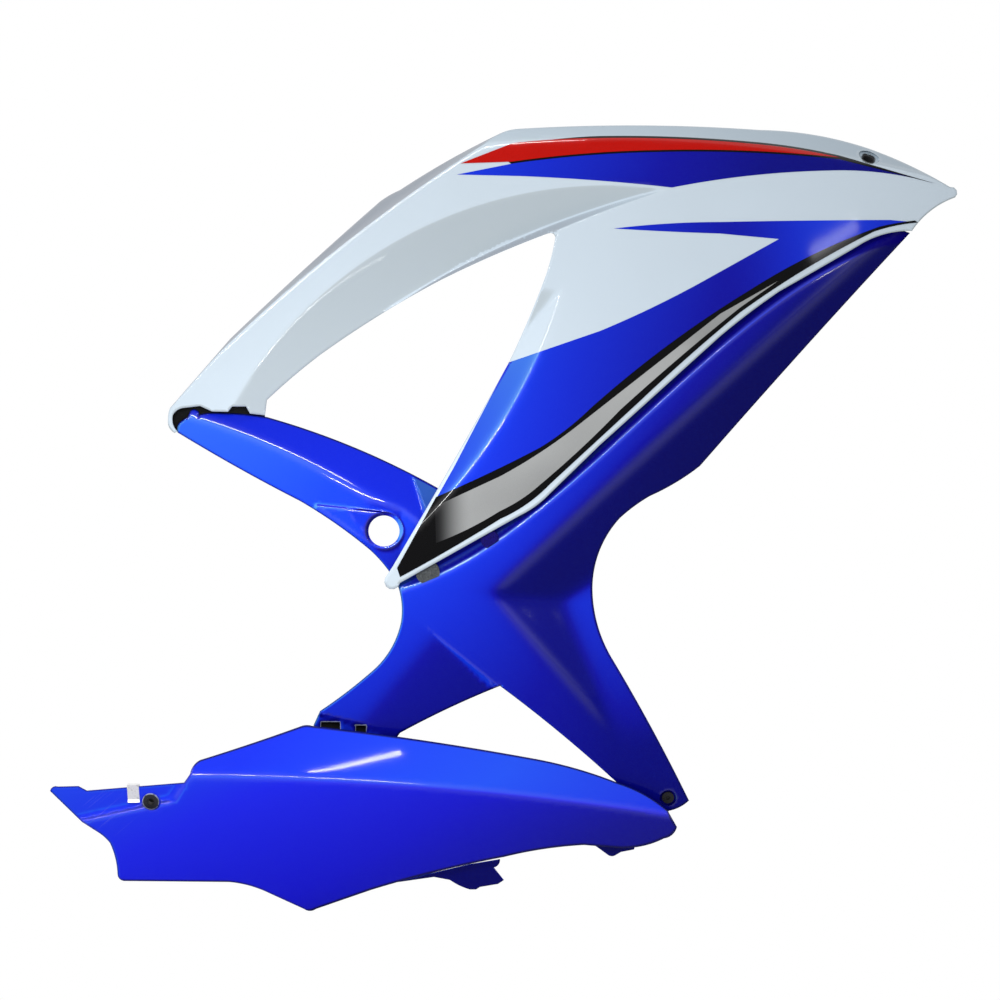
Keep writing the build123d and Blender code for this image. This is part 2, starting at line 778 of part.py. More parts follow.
with BuildSketch(Plane.XZ) as stripe_border_face:
    with BuildLine():
        draw(stripe_border_outline)
    make_face()
    with BuildLine():
        draw(stripe_outline)
    make_face()
    add(film_limit.sketch_local, mode=Mode.INTERSECT)

with BuildPart() as red_stripe_border:
    extrude(stripe_border_face.sketch, amount=reach, both=True)
    add(upper_skin.part.moved(behind(-film_step)), mode=Mode.INTERSECT)
    add(upper_skin.part.moved(behind(-film_lift)), mode=Mode.SUBTRACT)
red_stripe_border.part.label = "red_stripe_border"
export_step(red_stripe_border.part, "parts/red_stripe_border.step")

with BuildSketch(Plane.XZ) as stripe_face:
    with BuildLine():
        draw(stripe_outline)
    make_face()
    add(film_limit.sketch_local, mode=Mode.INTERSECT)

with BuildPart() as red_stripe:
    extrude(stripe_face.sketch, amount=reach, both=True)
    add(upper_skin.part.moved(behind(-2 * film_step)), mode=Mode.INTERSECT)
    add(upper_skin.part.moved(behind(-film_step - film_lift)), mode=Mode.SUBTRACT)
red_stripe.part.label = "red_stripe"
export_step(red_stripe.part, "parts/red_stripe.step")

with BuildSketch(Plane.XZ) as spear_face:
    with BuildLine():
        draw(spear_outline)
    make_face()
    add(stripe_border_face.sketch_local, mode=Mode.SUBTRACT)
    add(film_limit.sketch_local, mode=Mode.INTERSECT)

with BuildPart() as blue_spear:
    extrude(spear_face.sketch, amount=reach, both=True)
    add(upper_skin.part.moved(behind(-film_step)), mode=Mode.INTERSECT)
    add(upper_skin.part.moved(behind(-film_lift)), mode=Mode.SUBTRACT)
blue_spear.part.label = "blue_spear"
export_step(blue_spear.part, "parts/blue_spear.step")

# Pads between the upper and middle panels
with BuildPart() as rear_felt_pad:
    with BuildSketch(seat(joggle_floor, *rear_pad_at).offset(fit)):
        Circle(rear_pad_radius)
    extrude(amount=felt_thick)
    with BuildSketch(seat(joggle_facet, *rear_pad_at).offset(felt_room)):
        Rectangle(4 * rear_pad_radius, 4 * rear_pad_radius)
    extrude(amount=drill, mode=Mode.INTERSECT)
rear_felt_pad.part.label = "rear_felt_pad"
export_step(rear_felt_pad.part, "parts/rear_felt_pad.step")

with BuildPart() as front_felt_pad:
    with BuildSketch(seat(joggle_floor, *front_pad_at).offset(fit)):
        Circle(front_pad_radius)
    extrude(amount=felt_thick)
    with BuildSketch(seat(joggle_facet, *front_pad_at).offset(felt_room)):
        Rectangle(4 * front_pad_radius, 4 * front_pad_radius)
    extrude(amount=drill, mode=Mode.INTERSECT)
front_felt_pad.part.label = "front_felt_pad"
export_step(front_felt_pad.part, "parts/front_felt_pad.step")

with BuildSketch(Plane.XZ) as tail_gap:
    for x, z, length, height in tail_pad_fields:
        with Locations((x, z)):
            Rectangle(length, height)
    offset(upper_face.sketch_local, amount=fit, mode=Mode.SUBTRACT)
    offset(mid_face.sketch_local, amount=fit, mode=Mode.SUBTRACT)

with BuildPart() as tail_pad:
    extrude(tail_gap.sketch, amount=reach, both=True)
    add(upper_skin.part.moved(behind(tail_pad_depth)), mode=Mode.INTERSECT)
    add(upper_skin.part.moved(behind(tail_pad_depth + tail_pad_thick)), mode=Mode.SUBTRACT)
tail_pad.part.label = "tail_pad"
export_step(tail_pad.part, "parts/tail_pad.step")

# Flanged screws behind the seam
with BuildPart() as seam_screws:
    for x, z in seam_spots:
        screw_plane = seat(joggle_floor, x, z).offset(-screw_seat)
        with BuildSketch(screw_plane):
            Circle(screw_flange_radius)
        extrude(amount=-screw_flange_thick)
        with BuildSketch(screw_plane.offset(-screw_flange_thick)):
            RegularPolygon(head_radius, 6)
        extrude(amount=-head_height)
        with BuildSketch(screw_plane):
            Circle(shank_radius)
        extrude(amount=screw_seat + shank_bite)
seam_screws.part.label = "seam_screws"
export_step(seam_screws.part, "parts/seam_screws.step")

# Screw and spring nut at the tip of the front leg
with BuildPart() as leg_screw:
    with BuildSketch(leg_seat.offset(-leg_recess)):
        Circle(leg_head_radius)
    extrude(amount=leg_head_height)
    with BuildSketch(leg_seat.offset(-leg_recess)):
        Circle(leg_shank_radius)
    extrude(amount=-leg_floor - fit - ear_thick - nut_thick - nut_collar - leg_point)
    with BuildSketch(leg_seat.offset(leg_head_height - leg_recess)):
        RegularPolygon(leg_socket_radius, 6)
    extrude(amount=-leg_socket_depth, mode=Mode.SUBTRACT)
leg_screw.part.label = "leg_screw"
export_step(leg_screw.part, "parts/leg_screw.step")

with BuildPart() as leg_clip_nut:
    with BuildSketch(nut_seat):
        Rectangle(nut_width, nut_height)
    extrude(amount=-nut_thick)
    with BuildSketch(nut_seat.offset(-nut_thick)):
        Circle(nut_collar_radius)
    extrude(amount=-nut_collar)
    with BuildSketch(nut_seat):
        Circle(leg_shank_radius + fit)
    extrude(amount=drill, both=True, mode=Mode.SUBTRACT)
leg_clip_nut.part.label = "leg_clip_nut"
export_step(leg_clip_nut.part, "parts/leg_clip_nut.step")

# Grommet, collar and spring clip on the belly panel's rear flange
with BuildPart() as rear_grommet:
    with BuildSketch(flange_seat.offset(fit)):
        Circle(grommet_radius)
    extrude(amount=grommet_lip)
    with BuildSketch(flange_seat.offset(fit)):
        Circle(flange_hole_radius - fit)
    extrude(amount=-grip - 2 * fit)
    with BuildSketch(flange_seat.offset(-grip - fit)):
        Circle(grommet_radius)
    extrude(amount=-grommet_lip)
    with BuildSketch(flange_seat):
        Circle(collar_radius + fit)
    extrude(amount=drill, both=True, mode=Mode.SUBTRACT)
rear_grommet.part.label = "rear_grommet"
export_step(rear_grommet.part, "parts/rear_grommet.step")

with BuildPart() as rear_collar:
    with BuildSketch(flange_seat.offset(fit + grommet_lip)):
        Circle(collar_radius)
        Circle(collar_bore_radius, mode=Mode.SUBTRACT)
    extrude(amount=-collar_length)
rear_collar.part.label = "rear_collar"
export_step(rear_collar.part, "parts/rear_collar.step")

with BuildPart() as rear_spring_clip:
    with BuildSketch(clip_side):
        Polygon(*clip_profile, align=None)
    extrude(amount=clip_width / 2, both=True)
rear_spring_clip.part.label = "rear_spring_clip"
export_step(rear_spring_clip.part, "parts/rear_spring_clip.step")
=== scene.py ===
import bpy
import numpy as np
from math import atan, cos, hypot, pi, radians, sin
from mathutils import Matrix, Vector, kdtree
from mathutils.geometry import delaunay_2d_cdt


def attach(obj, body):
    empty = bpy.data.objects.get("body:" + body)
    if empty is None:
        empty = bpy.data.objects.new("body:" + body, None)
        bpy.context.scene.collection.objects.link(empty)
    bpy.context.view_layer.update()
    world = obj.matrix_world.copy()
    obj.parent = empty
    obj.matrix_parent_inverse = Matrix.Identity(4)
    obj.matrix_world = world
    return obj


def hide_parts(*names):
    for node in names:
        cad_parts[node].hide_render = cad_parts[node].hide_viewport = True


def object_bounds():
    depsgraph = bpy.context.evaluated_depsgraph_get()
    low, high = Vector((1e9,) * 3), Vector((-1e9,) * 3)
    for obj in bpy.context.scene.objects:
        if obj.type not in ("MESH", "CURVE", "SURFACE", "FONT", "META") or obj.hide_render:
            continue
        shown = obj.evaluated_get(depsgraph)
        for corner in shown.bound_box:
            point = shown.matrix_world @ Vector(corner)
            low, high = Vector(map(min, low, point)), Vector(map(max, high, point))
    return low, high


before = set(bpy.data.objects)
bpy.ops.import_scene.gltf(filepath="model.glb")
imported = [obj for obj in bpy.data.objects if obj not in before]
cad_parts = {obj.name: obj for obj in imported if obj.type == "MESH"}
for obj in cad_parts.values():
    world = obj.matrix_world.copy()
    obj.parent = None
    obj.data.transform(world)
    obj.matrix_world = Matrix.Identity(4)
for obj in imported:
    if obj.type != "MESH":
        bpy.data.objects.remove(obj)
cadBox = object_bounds()
scene = bpy.context.scene
scene.view_settings.view_transform = "Standard"

# Lengths below are millimetres in the frame of the part: x forward, y inboard, z up
shell = {"wall": 3.2, "rim": 3.0, "lip": 12.0, "edgeRadius": 1.1, "gridStep": 3.0, "outlineStep": 2.6,
         "rowStep": 2.0, "rowOffsets": (-3.4, -1.9, -0.9, -0.3, 0.3, 0.9, 1.9, 3.4), "rowRoom": 1.6,
         "ringInsets": (0.35, 0.8, 1.5, 2.75, 3.25, 4.6), "gridClear": 5.6, "rowClear": 5.0, "holeClear": 0.3,
         "rimReach": 1.8, "ridgeBend": (0.006, 0.045), "edgeWear": 0.72, "slotWearAndHighlight": 1.6}


def ringThrough(first, middle, last):
    ax, az = middle[0] - first[0], middle[1] - first[1]
    bx, bz = last[0] - first[0], last[1] - first[1]
    doubleArea = 2 * (ax * bz - az * bx)
    aSquare, bSquare = ax**2 + az**2, bx**2 + bz**2
    toX = (bz * aSquare - az * bSquare) / doubleArea
    toZ = (ax * bSquare - bx * aSquare) / doubleArea
    return first[0] + toX, first[1] + toZ, hypot(toX, toZ)


def outside(ring, x, z):
    return np.hypot(x - ring[0], z - ring[1]) - ring[2]


def rightOf(start, end, x, z):
    runX, runZ = end[0] - start[0], end[1] - start[1]
    return ((x - start[0]) * runZ - (z - start[1]) * runX) / hypot(runX, runZ)


def ramp(value, soft):  # zero below, the value above, with a soft turn
    return (value + np.sqrt(value * value + soft * soft)) / 2


def ridge(a, b, soft):  # the deeper of two forms
    return b + ramp(a - b, soft)


def valley(a, b, soft):  # the shallower of two forms
    return b - ramp(b - a, soft)


def blendStep(value, low, high):
    t = np.clip((value - low) / (high - low), 0, 1)
    return t * t * (3 - 2 * t)


# Outlines: x, z and the bulge of the edge that follows
upperOutline = [
    (-214, 123, 0), (-154, 192, 1.3), (-4, 329.5, 0.7), (16, 341, 2), (116, 397.5, 0.7), (132, 402, 4.1),
    (376, 401, 4.4), (486, 382, 2.2), (566, 344, 4.7), (571, 333.5, -4.4), (528, 300, -4.3), (474, 285, 0.2),
    (396, 240, -1), (336, 194.5, 0), (216, 86, 0), (166, 37.5, 1.7), (136, 15.5, 0), (16, -52, 9),
    (1, -47, 0), (9, -35, -0.6), (124, 167, -1.2), (162, 256, -0.6), (171, 291, -3.4), (164, 297.5, -1.6),
    (56, 250.5, -2.4), (-64, 176, -0.9), (-117, 131, 0), (-119, 115.6, 0), (-134, 117.3, 0), (-138, 124.5, 0),
    (-152, 124.5, 0), (-156, 119.2, 0), (-172, 119.5, 0), (-184, 125, 0), (-201, 123, -1.5),
    (-211, 116, -2.4), (-206.5, 99.5, 0), (-209.5, 98, 2.6), (-216, 112, 0.6),
]
midOutline = [
    (-207, 101, 1.8), (-201, 111, 0.5), (-196.5, 113.5, 0), (-193.5, 120.5, 1.2), (-187.5, 121.5, 0.8),
    (-184.5, 116.5, 0.8), (-164, 118.5, 0.9), (-117, 114, 5.4), (52, 44, 0), (93, 22, 0), (130, 41, 0),
    (198, 103, 0), (319, 213, 0), (380, 262, 0), (446, 295, 0), (502, 307, 0), (526, 298, -1.3),
    (316, 65, 1.8),
    (266, 35, -1), (236, 13, -7.4), (208.5, -59, -4.9), (229, -129, 1.7), (305, -269.5, 1.8), (284, -280, 0),
    (271, -279, 0), (252, -269, 0), (243, -261, -2.4), (116, -155, -1.7), (16, -202, 0), (8, -213, 0),
    (-66, -206, 0), (-70.4, -194, 0), (-64, -180, -1), (-14, -142, -5.2), (17, -91, -2.1), (14, -55, -2),
    (-14, -19, -1.8), (-84, 30, 1.3), (-204, 97, 1.1),
]
bellyOutline = [
    (-334, -260, 2.2), (-326, -255.5, 0), (-305.5, -255, 0), (-297, -259.5, 0), (-200, -251.5, 0),
    (-194, -243, 2), (-184, -229, -0.6), (-84, -195.5, 1.1), (-72, -194.8, 2), (152, -228, 2),
    (232, -251, 3.3), (284, -280, 0), (293, -296, 2.7), (280, -307.5, 2.9), (236, -317, 0), (200, -314, -1.9),
    (120, -326, -1.9), (-13, -359, 0), (-68, -378, 2), (-80, -378, 0), (-115, -362, -1.9), (-155, -351, 0),
    (-260, -350, 1.9), (-266.5, -343, -1.6), (-274, -312, -0.5), (-284, -302.5, 0), (-302, -291, 0),
]


def traceOutline(outline, step):
    points = []
    for (x, z, bulge), (nextX, nextZ, _) in zip(outline, outline[1:] + outline[:1]):
        length = hypot(nextX - x, nextZ - z)
        dirX, dirZ = (nextX - x) / length, (nextZ - z) / length
        angle = 4 * atan(2 * bulge / length)
        for i in range(max(1, round(length / step))):
            share = i / max(1, round(length / step))
            along, off = share * length, 0
            if bulge:
                radius = length / (2 * sin(angle / 2))
                along = length / 2 + radius * sin((share - 0.5) * angle)
                off = radius * (cos((share - 0.5) * angle) - cos(angle / 2))
            points.append((x + along * dirX - off * dirZ, z + along * dirZ + off * dirX))
    return np.array(points)


def insideLoop(loop, x, z):
    hit = np.zeros(len(x), dtype=bool)
    for (x0, z0), (x1, z1) in zip(loop, np.roll(loop, -1, axis=0)):
        if z0 == z1:
            continue
        crosses = (z0 > z) != (z1 > z)
        hit ^= crosses & (x < (x1 - x0) * (z - z0) / (z1 - z0) + x0)
    return hit


def loopDistance(loop, x, z):
    nearest = np.full(len(x), 1e9)
    for (x0, z0), (x1, z1) in zip(loop, np.roll(loop, -1, axis=0)):
        runX, runZ = x1 - x0, z1 - z0
        square = runX**2 + runZ**2
        if square == 0:
            continue
        t = np.clip(((x - x0) * runX + (z - z0) * runZ) / square, 0, 1)
        nearest = np.minimum(nearest, np.hypot(x - x0 - t * runX, z - z0 - t * runZ))
    return nearest


# Bowed side of the motorcycle
body = {"crownX": 176, "crownY": -28, "crownZ": 181, "bowAlong": 4.2e-4, "bowNose": 2.6e-7, "bowUp": 3.0e-4}


def bodySide(x, z):
    along = x - body["crownX"]
    return (body["crownY"] + body["bowAlong"] * along**2 + body["bowNose"] * along**3
            + body["bowUp"] * (z - body["crownZ"]) ** 2)


upper = {
    "armReturn": ringThrough((-174, 169), (-34, 292), (111, 394)), "armReturnSlope": 1.7,
    "armReturnSoft": 1.6,
    "topCrease": ringThrough((111, 388), (266, 393.5), (456, 374)), "topSlope": 0.6, "topTwist": 0.0028,
    "topTwistX": 116, "topSoft": 1.2,
    "armRidge": ringThrough((-108, 189), (56, 312), (209, 346)), "armRidgeSlope": 0.4, "armRidgeSoft": 0.8,
    "troughEdge": ringThrough((-119, 116), (169, 299), (288, 343)), "troughEdgeSlope": 2.2, "troughSoft": 2.6,
    "bevelCrease": ringThrough((178, 241), (116, 106), (34, 4)), "bevelSlope": 0.6, "bevelSoft": 1.2,
    "bevelTopZ": 245, "bevelFade": 0.25, "windowLow": (-60, 60), "windowHigh": (165, 290), "windowSlope": 2.0,
    "tailSink": 14, "tailSinkX": (-115, -70),
}


def upperDepth(x, z):
    u = upper
    base = bodySide(x, z)
    armReturn = u["armReturnSlope"] * outside(u["armReturn"], x, z)
    topSlope = u["topSlope"] + u["topTwist"] * np.maximum(0, x - u["topTwistX"])
    top = topSlope * outside(u["topCrease"], x, z)
    floor = -u["armRidgeSlope"] * outside(u["armRidge"], x, z)
    side = u["troughEdgeSlope"] * outside(u["troughEdge"], x, z)
    side = side + u["tailSink"] * (1 - blendStep(x, *u["tailSinkX"]))
    bevel = -u["bevelSlope"] * outside(u["bevelCrease"], x, z)
    bevelEnd = u["bevelFade"] * (u["bevelTopZ"] - z)
    window = u["windowSlope"] * rightOf(u["windowLow"], u["windowHigh"], x, z)
    depth = ridge(valley(floor, side, u["troughSoft"]), 0 * x, u["armRidgeSoft"])
    depth = ridge(np.minimum(valley(bevel, bevelEnd, 2.0), window), depth, u["bevelSoft"])
    depth = ridge(armReturn, depth, u["armReturnSoft"])
    depth = ridge(top, depth, u["topSoft"])
    return base + depth


mid = {
    "setback": 3.6, "legTuck": 3.0e-4, "legTuckZ": -20,
    "spineTop": (496, 291), "spineFoot": (111, -61), "shinTop": (111, -66), "shinFoot": (196, -164),
    "chestSlope": 0.55, "chestEndZ": -200, "chestFade": 0.2, "chestSoft": 3.6,
    "stepHead": (50, -104), "stepFoot": (230, -250), "stepSlope": 2.0, "stepGrowth": 0.13, "stepSoft": 1.2,
    "elbowRidge": ringThrough((-187, 113), (-84, 71.5), (4, 19)), "elbowSlope": 0.5,
    "elbowSoft": 1.8, "elbowBow": 1.5e-3, "elbowWidth": 40,
    "rootLow": (46, -29), "rootHigh": (86, 51), "rootSlope": 0.4,
    "seamMidX": 270, "seamHalf": 250, "seamLevel": 134.7, "seamRise": 230.3, "seamSag": -8.5,
    "seamCurl": -57.8,
    "seamLean": 0.77, "joggleWidth": 9.5, "joggleSlope": 0.6, "joggleDrop": 4.4, "joggleStartX": -20,
    "joggleFade": 0.12, "joggleSoft": 0.8,
    "stripRear": (-64, -183), "stripFront": (16, -202.5), "stripSlope": 1.5, "stripDrop": 3.0,
    "stripEndX": 40,
    "stripFade": 0.1, "stripSoft": 0.6,
}


def midSide(x, z):
    return bodySide(x, z) + mid["setback"] + mid["legTuck"] * np.maximum(0, mid["legTuckZ"] - z) ** 2


def seamHeight(x):
    along = (x - mid["seamMidX"]) / mid["seamHalf"]
    return mid["seamLevel"] + mid["seamRise"] * along + mid["seamSag"] * along**2 + mid["seamCurl"] * along**3


def midDepth(x, z):
    m = mid
    chestUpper = m["chestSlope"] * rightOf(m["spineFoot"], m["spineTop"], x, z)
    chestLower = m["chestSlope"] * rightOf(m["shinFoot"], m["shinTop"], x, z)
    chestEnd = m["chestFade"] * (z - m["chestEndZ"])
    chest = valley(valley(chestUpper, chestLower, 4.0), chestEnd, 4.0)
    runX, runZ = m["stepFoot"][0] - m["stepHead"][0], m["stepFoot"][1] - m["stepHead"][1]
    along = ((x - m["stepHead"][0]) * runX + (z - m["stepHead"][1]) * runZ) / hypot(runX, runZ)
    step = m["stepSlope"] * rightOf(m["stepHead"], m["stepFoot"], x, z)
    step = valley(step, m["stepGrowth"] * along, 2.0)
    above = outside(m["elbowRidge"], x, z)
    elbow = m["elbowSlope"] * above + m["elbowBow"] * np.maximum(0, above) * (above - m["elbowWidth"])
    root = m["rootSlope"] * rightOf(m["rootHigh"], m["rootLow"], x, z)
    elbow = valley(elbow, root, 2.5)
    above = m["seamLean"] * (z - seamHeight(x)) + m["joggleWidth"]
    joggle = valley(m["joggleSlope"] * above, m["joggleDrop"] + 0 * x, 0.6)
    joggle = np.minimum(joggle, m["joggleFade"] * (x - m["joggleStartX"]))
    strip = m["stripSlope"] * rightOf(m["stripRear"], m["stripFront"], x, z)
    strip = valley(strip, m["stripDrop"] + 0 * x, 0.8)
    strip = np.minimum(strip, m["stripFade"] * (m["stripEndX"] - x))
    depth = ridge(chest, 0 * x, m["chestSoft"])
    depth = ridge(elbow, depth, m["elbowSoft"])
    depth = ridge(step, depth, m["stepSoft"])
    depth = ridge(strip, depth, m["stripSoft"])
    depth = ridge(joggle, depth, m["joggleSoft"])
    return midSide(x, z) + depth


belly = {
    "y": 12, "x": 10, "bow": 4.0e-4, "ridge": ringThrough((-195, -245), (36, -255), (237, -277)),
    "upperSlope": 0.45, "lowerSlope": 0.35, "lowerBow": 1.2e-3, "upperBow": 9.0e-4, "ridgeSoft": 1.6,
    "lineRear": (-300.5, -291), "corner": (-210, -271.4), "lineTop": (-197, -251),
    "stepSlope": 1.2, "drop": 8, "stepSoft": 0.8, "crownWidth": 40,
}


def bellyBow(x):
    return belly["y"] + belly["bow"] * (x - belly["x"]) ** 2


def bellyLower(x, z):
    above = outside(belly["ridge"], x, z)
    return bellyBow(x) - belly["lowerSlope"] * above + belly["lowerBow"] * above**2


def bellyDepth(x, z):
    b = belly
    lower = bellyLower(x, z)
    above = outside(b["ridge"], x, z)
    top = bellyBow(x) + b["upperSlope"] * above + b["upperBow"] * above * (above - b["crownWidth"])
    below = b["stepSlope"] * rightOf(b["corner"], b["lineRear"], x, z)
    front = b["stepSlope"] * rightOf(b["lineTop"], b["corner"], x, z)
    flange = valley(valley(below, front, 1.0), b["drop"] + 0 * x, 1.2)
    return ridge(lower + flange, ridge(top, lower, b["ridgeSoft"]), b["stepSoft"])


# A flat that touches a form at a point, as its point, outward normal and two directions in it
def seatOn(depth, x, z):
    def at(px, pz):
        return float(depth(np.array([float(px)]), np.array([float(pz)]))[0])
    slopeX, slopeZ = (at(x + 1, z) - at(x - 1, z)) / 2, (at(x, z + 1) - at(x, z - 1)) / 2
    normal = Vector((slopeX, -1, slopeZ)).normalized()
    right = Vector((1, slopeX, 0)).normalized()
    return {"at": Vector((x, at(x, z), z)), "out": normal, "right": right, "up": normal.cross(right)}


def seatDepth(seat, sink, x, z):  # depth of the flat, sunk inboard along its normal
    p = seat["at"] - seat["out"] * sink
    n = seat["out"]
    return p.y - (n.x * (x - p.x) + n.z * (z - p.z)) / n.y


def seatRadius(seat, x, z):  # distance from the seat's axis, measured in its flat
    goX, goY, goZ = x - seat["at"].x, seatDepth(seat, 0, x, z) - seat["at"].y, z - seat["at"].z
    u, v = [goX * way.x + goY * way.y + goZ * way.z for way in (seat["right"], seat["up"])]
    return np.hypot(u, v)


def seatCircle(seat, radius, count, sink=0):  # the circle in the flat, seen from the side
    turns = np.linspace(0, 2 * pi, count, endpoint=False)
    centre = seat["at"] - seat["out"] * sink
    x = centre.x + radius * (np.cos(turns) * seat["right"].x + np.sin(turns) * seat["up"].x)
    z = centre.z + radius * (np.cos(turns) * seat["right"].z + np.sin(turns) * seat["up"].z)
    return np.column_stack([x, z])


# The flange under the seam, turned to run along it
def seamSeat(x, z):
    seat = seatOn(joggleFloor, x, z)
    rise = float(seamHeight(x + 0.5) - seamHeight(x - 0.5))
    along = Vector((1, 0, rise))
    seat["right"] = (along - seat["out"] * along.dot(seat["out"])).normalized()
    seat["up"] = seat["out"].cross(seat["right"])
    return seat


def flatSeat(x, y, z):  # a flat that faces straight out
    return {"at": Vector((x, y, z)), "out": Vector((0, -1, 0)),
            "right": Vector((1, 0, 0)), "up": Vector((0, 0, 1))}


def joggleFloor(x, z):
    return midSide(x, z) + mid["joggleDrop"]


def topFacet(x, z):
    slope = upper["topSlope"] + upper["topTwist"] * np.maximum(0, x - upper["topTwistX"])
    return bodySide(x, z) + slope * outside(upper["topCrease"], x, z)


def flangeFloor(x, z):
    return bellyLower(x, z) + belly["drop"]


noseHole = {"seat": seatOn(topFacet, 485, 374), "radius": 5.5, "recess": 2.5, "recessRadius": 11, "soft": 0.9,
            "edgeRadius": 0.6, "bossRadius": 10.5, "bossThick": 3, "sleeveRadius": 8.0, "sleeveEnd": 11.0}
legHole = {"seat": seatOn(midSide, 284, -267), "radius": 3.5, "recess": 3.0, "recessRadius": 8.5, "soft": 0.5}
flangeHole = {"seat": seatOn(flangeFloor, -233, -270), "radius": 6.0, "roomRadius": 10,
              "edgeRadius": 0.5, "soft": 0.5}
frameHole = {"radius": 15.5, "padRadius": 19, "padTip": (-66, 24), "padTipRadius": 2, "soft": 0.6,
             "padRise": 1.5, "padTurn": 2.5, "edgeRadius": 0.7}
seamScrews = {"spots": [(80, -2), (410, 262)], "seat": 4.2, "seatRadius": 7.0, "bossRadius": 5.5,
              "bossRise": 4.8, "bossFoot": -0.1, "seatNear": 1.0}
seamHooks = {"spots": [(168, 57), (248, 131), (328, 203)], "length": 14, "thick": 2.4, "bite": 2.0,
             "lip": 2.0, "room": 0.5, "grip": 3.3, "rise": 4.9}
stripSlots = [(-53.5, -197, 19, 12), (-23, -199.75, 10, 10.5)]
flangeEdgeRoom = np.array([(-302, -262), (-302, -245), (-205, -240), (-205, -256)], dtype=float)


def circleLoop(radius, count=48, at=(0, 0)):
    turns = np.linspace(0, 2 * pi, count, endpoint=False)
    return np.column_stack([at[0] + radius * np.cos(turns), at[1] + radius * np.sin(turns)])


def boxLoop(width, height, at=(0, 0)):
    corners = [(-0.5, -0.5), (0.5, -0.5), (0.5, 0.5), (-0.5, 0.5)]
    return np.array([(at[0] + u * width, at[1] + v * height) for u, v in corners])


def hullLoop(big, tip, small):  # a circle drawn out to a smaller one
    reach = hypot(tip[0], tip[1])
    lean = np.arccos((big - small) / reach)
    heading = np.arctan2(tip[1], tip[0])
    bigTurns = np.linspace(heading + lean, heading + 2 * pi - lean, 60)
    smallTurns = np.linspace(heading - lean, heading + lean, 12)
    bigArc = np.column_stack([big * np.cos(bigTurns), big * np.sin(bigTurns)])
    smallArc = np.column_stack([tip[0] + small * np.cos(smallTurns), tip[1] + small * np.sin(smallTurns)])
    count = int(reach / 2.5)
    there = np.linspace(bigArc[-1], smallArc[0], count)[1:-1]
    back = np.linspace(smallArc[-1], bigArc[0], count)[1:-1]
    return np.vstack([bigArc, there, smallArc, back])


def padLoop(grow):  # the flat round the frame hole
    return hullLoop(frameHole["padRadius"] + grow, frameHole["padTip"], frameHole["padTipRadius"] + grow)


frameLoop = padLoop(0)


def upperSkin(x, z):
    depth = upperDepth(x, z)
    outer = noseHole["recessRadius"]
    inRecess = 1 - blendStep(seatRadius(noseHole["seat"], x, z), outer - noseHole["soft"], outer)
    return depth + inRecess * np.maximum(0, seatDepth(noseHole["seat"], noseHole["recess"], x, z) - depth)


def midSkin(x, z):
    depth = midDepth(x, z)
    padSide = np.where(insideLoop(frameLoop, x, z), 1, -1) * loopDistance(frameLoop, x, z)
    depth = depth + blendStep(padSide, -0.1, frameHole["soft"]) * np.maximum(0, -depth)
    depth = depth - frameHole["padRise"] * blendStep(padSide, -frameHole["padTurn"], frameHole["padTurn"])
    padRadius = frameHole["padRadius"]
    inDisc = 1 - blendStep(np.hypot(x, z), padRadius - frameHole["padTurn"], padRadius)
    depth = depth * (1 - inDisc)
    outer = legHole["recessRadius"]
    inRecess = 1 - blendStep(seatRadius(legHole["seat"], x, z), outer - legHole["soft"], outer)
    return depth + inRecess * (seatDepth(legHole["seat"], legHole["recess"], x, z) - depth)


def bellySkin(x, z):
    depth = bellyDepth(x, z)
    outer = flangeHole["roomRadius"]
    inRoom = 1 - blendStep(seatRadius(flangeHole["seat"], x, z), outer - flangeHole["soft"], outer)
    return depth + inRoom * np.maximum(0, seatDepth(flangeHole["seat"], 0, x, z) - depth)


print("forms ready")


# Rows of points on both sides of a crease, which is an arc or a line
def arcRows(ring, first, last):
    firstTurn = np.arctan2(first[1] - ring[1], first[0] - ring[0])
    turn = (np.arctan2(last[1] - ring[1], last[0] - ring[0]) - firstTurn + pi) % (2 * pi) - pi
    turns = firstTurn + turn * np.linspace(0, 1, max(2, int(abs(turn) * ring[2] / shell["rowStep"])))
    rows = []
    for off in shell["rowOffsets"]:
        radius = ring[2] + off
        rows.append(np.column_stack([ring[0] + radius * np.cos(turns), ring[1] + radius * np.sin(turns)]))
    return np.vstack(rows)


def curveRows(points):
    run = np.gradient(points, axis=0)
    side = np.column_stack([run[:, 1], -run[:, 0]]) / np.hypot(run[:, 0], run[:, 1])[:, None]
    return np.vstack([points + side * off for off in shell["rowOffsets"]])


def lineRows(first, last):
    run = np.array(last, dtype=float) - np.array(first, dtype=float)
    length = np.hypot(*run)
    side = np.array([run[1], -run[0]]) / length
    shares = np.linspace(0, 1, max(2, int(length / shell["rowStep"])))
    return np.vstack([np.array(first) + np.outer(shares, run) + side * off for off in shell["rowOffsets"]])


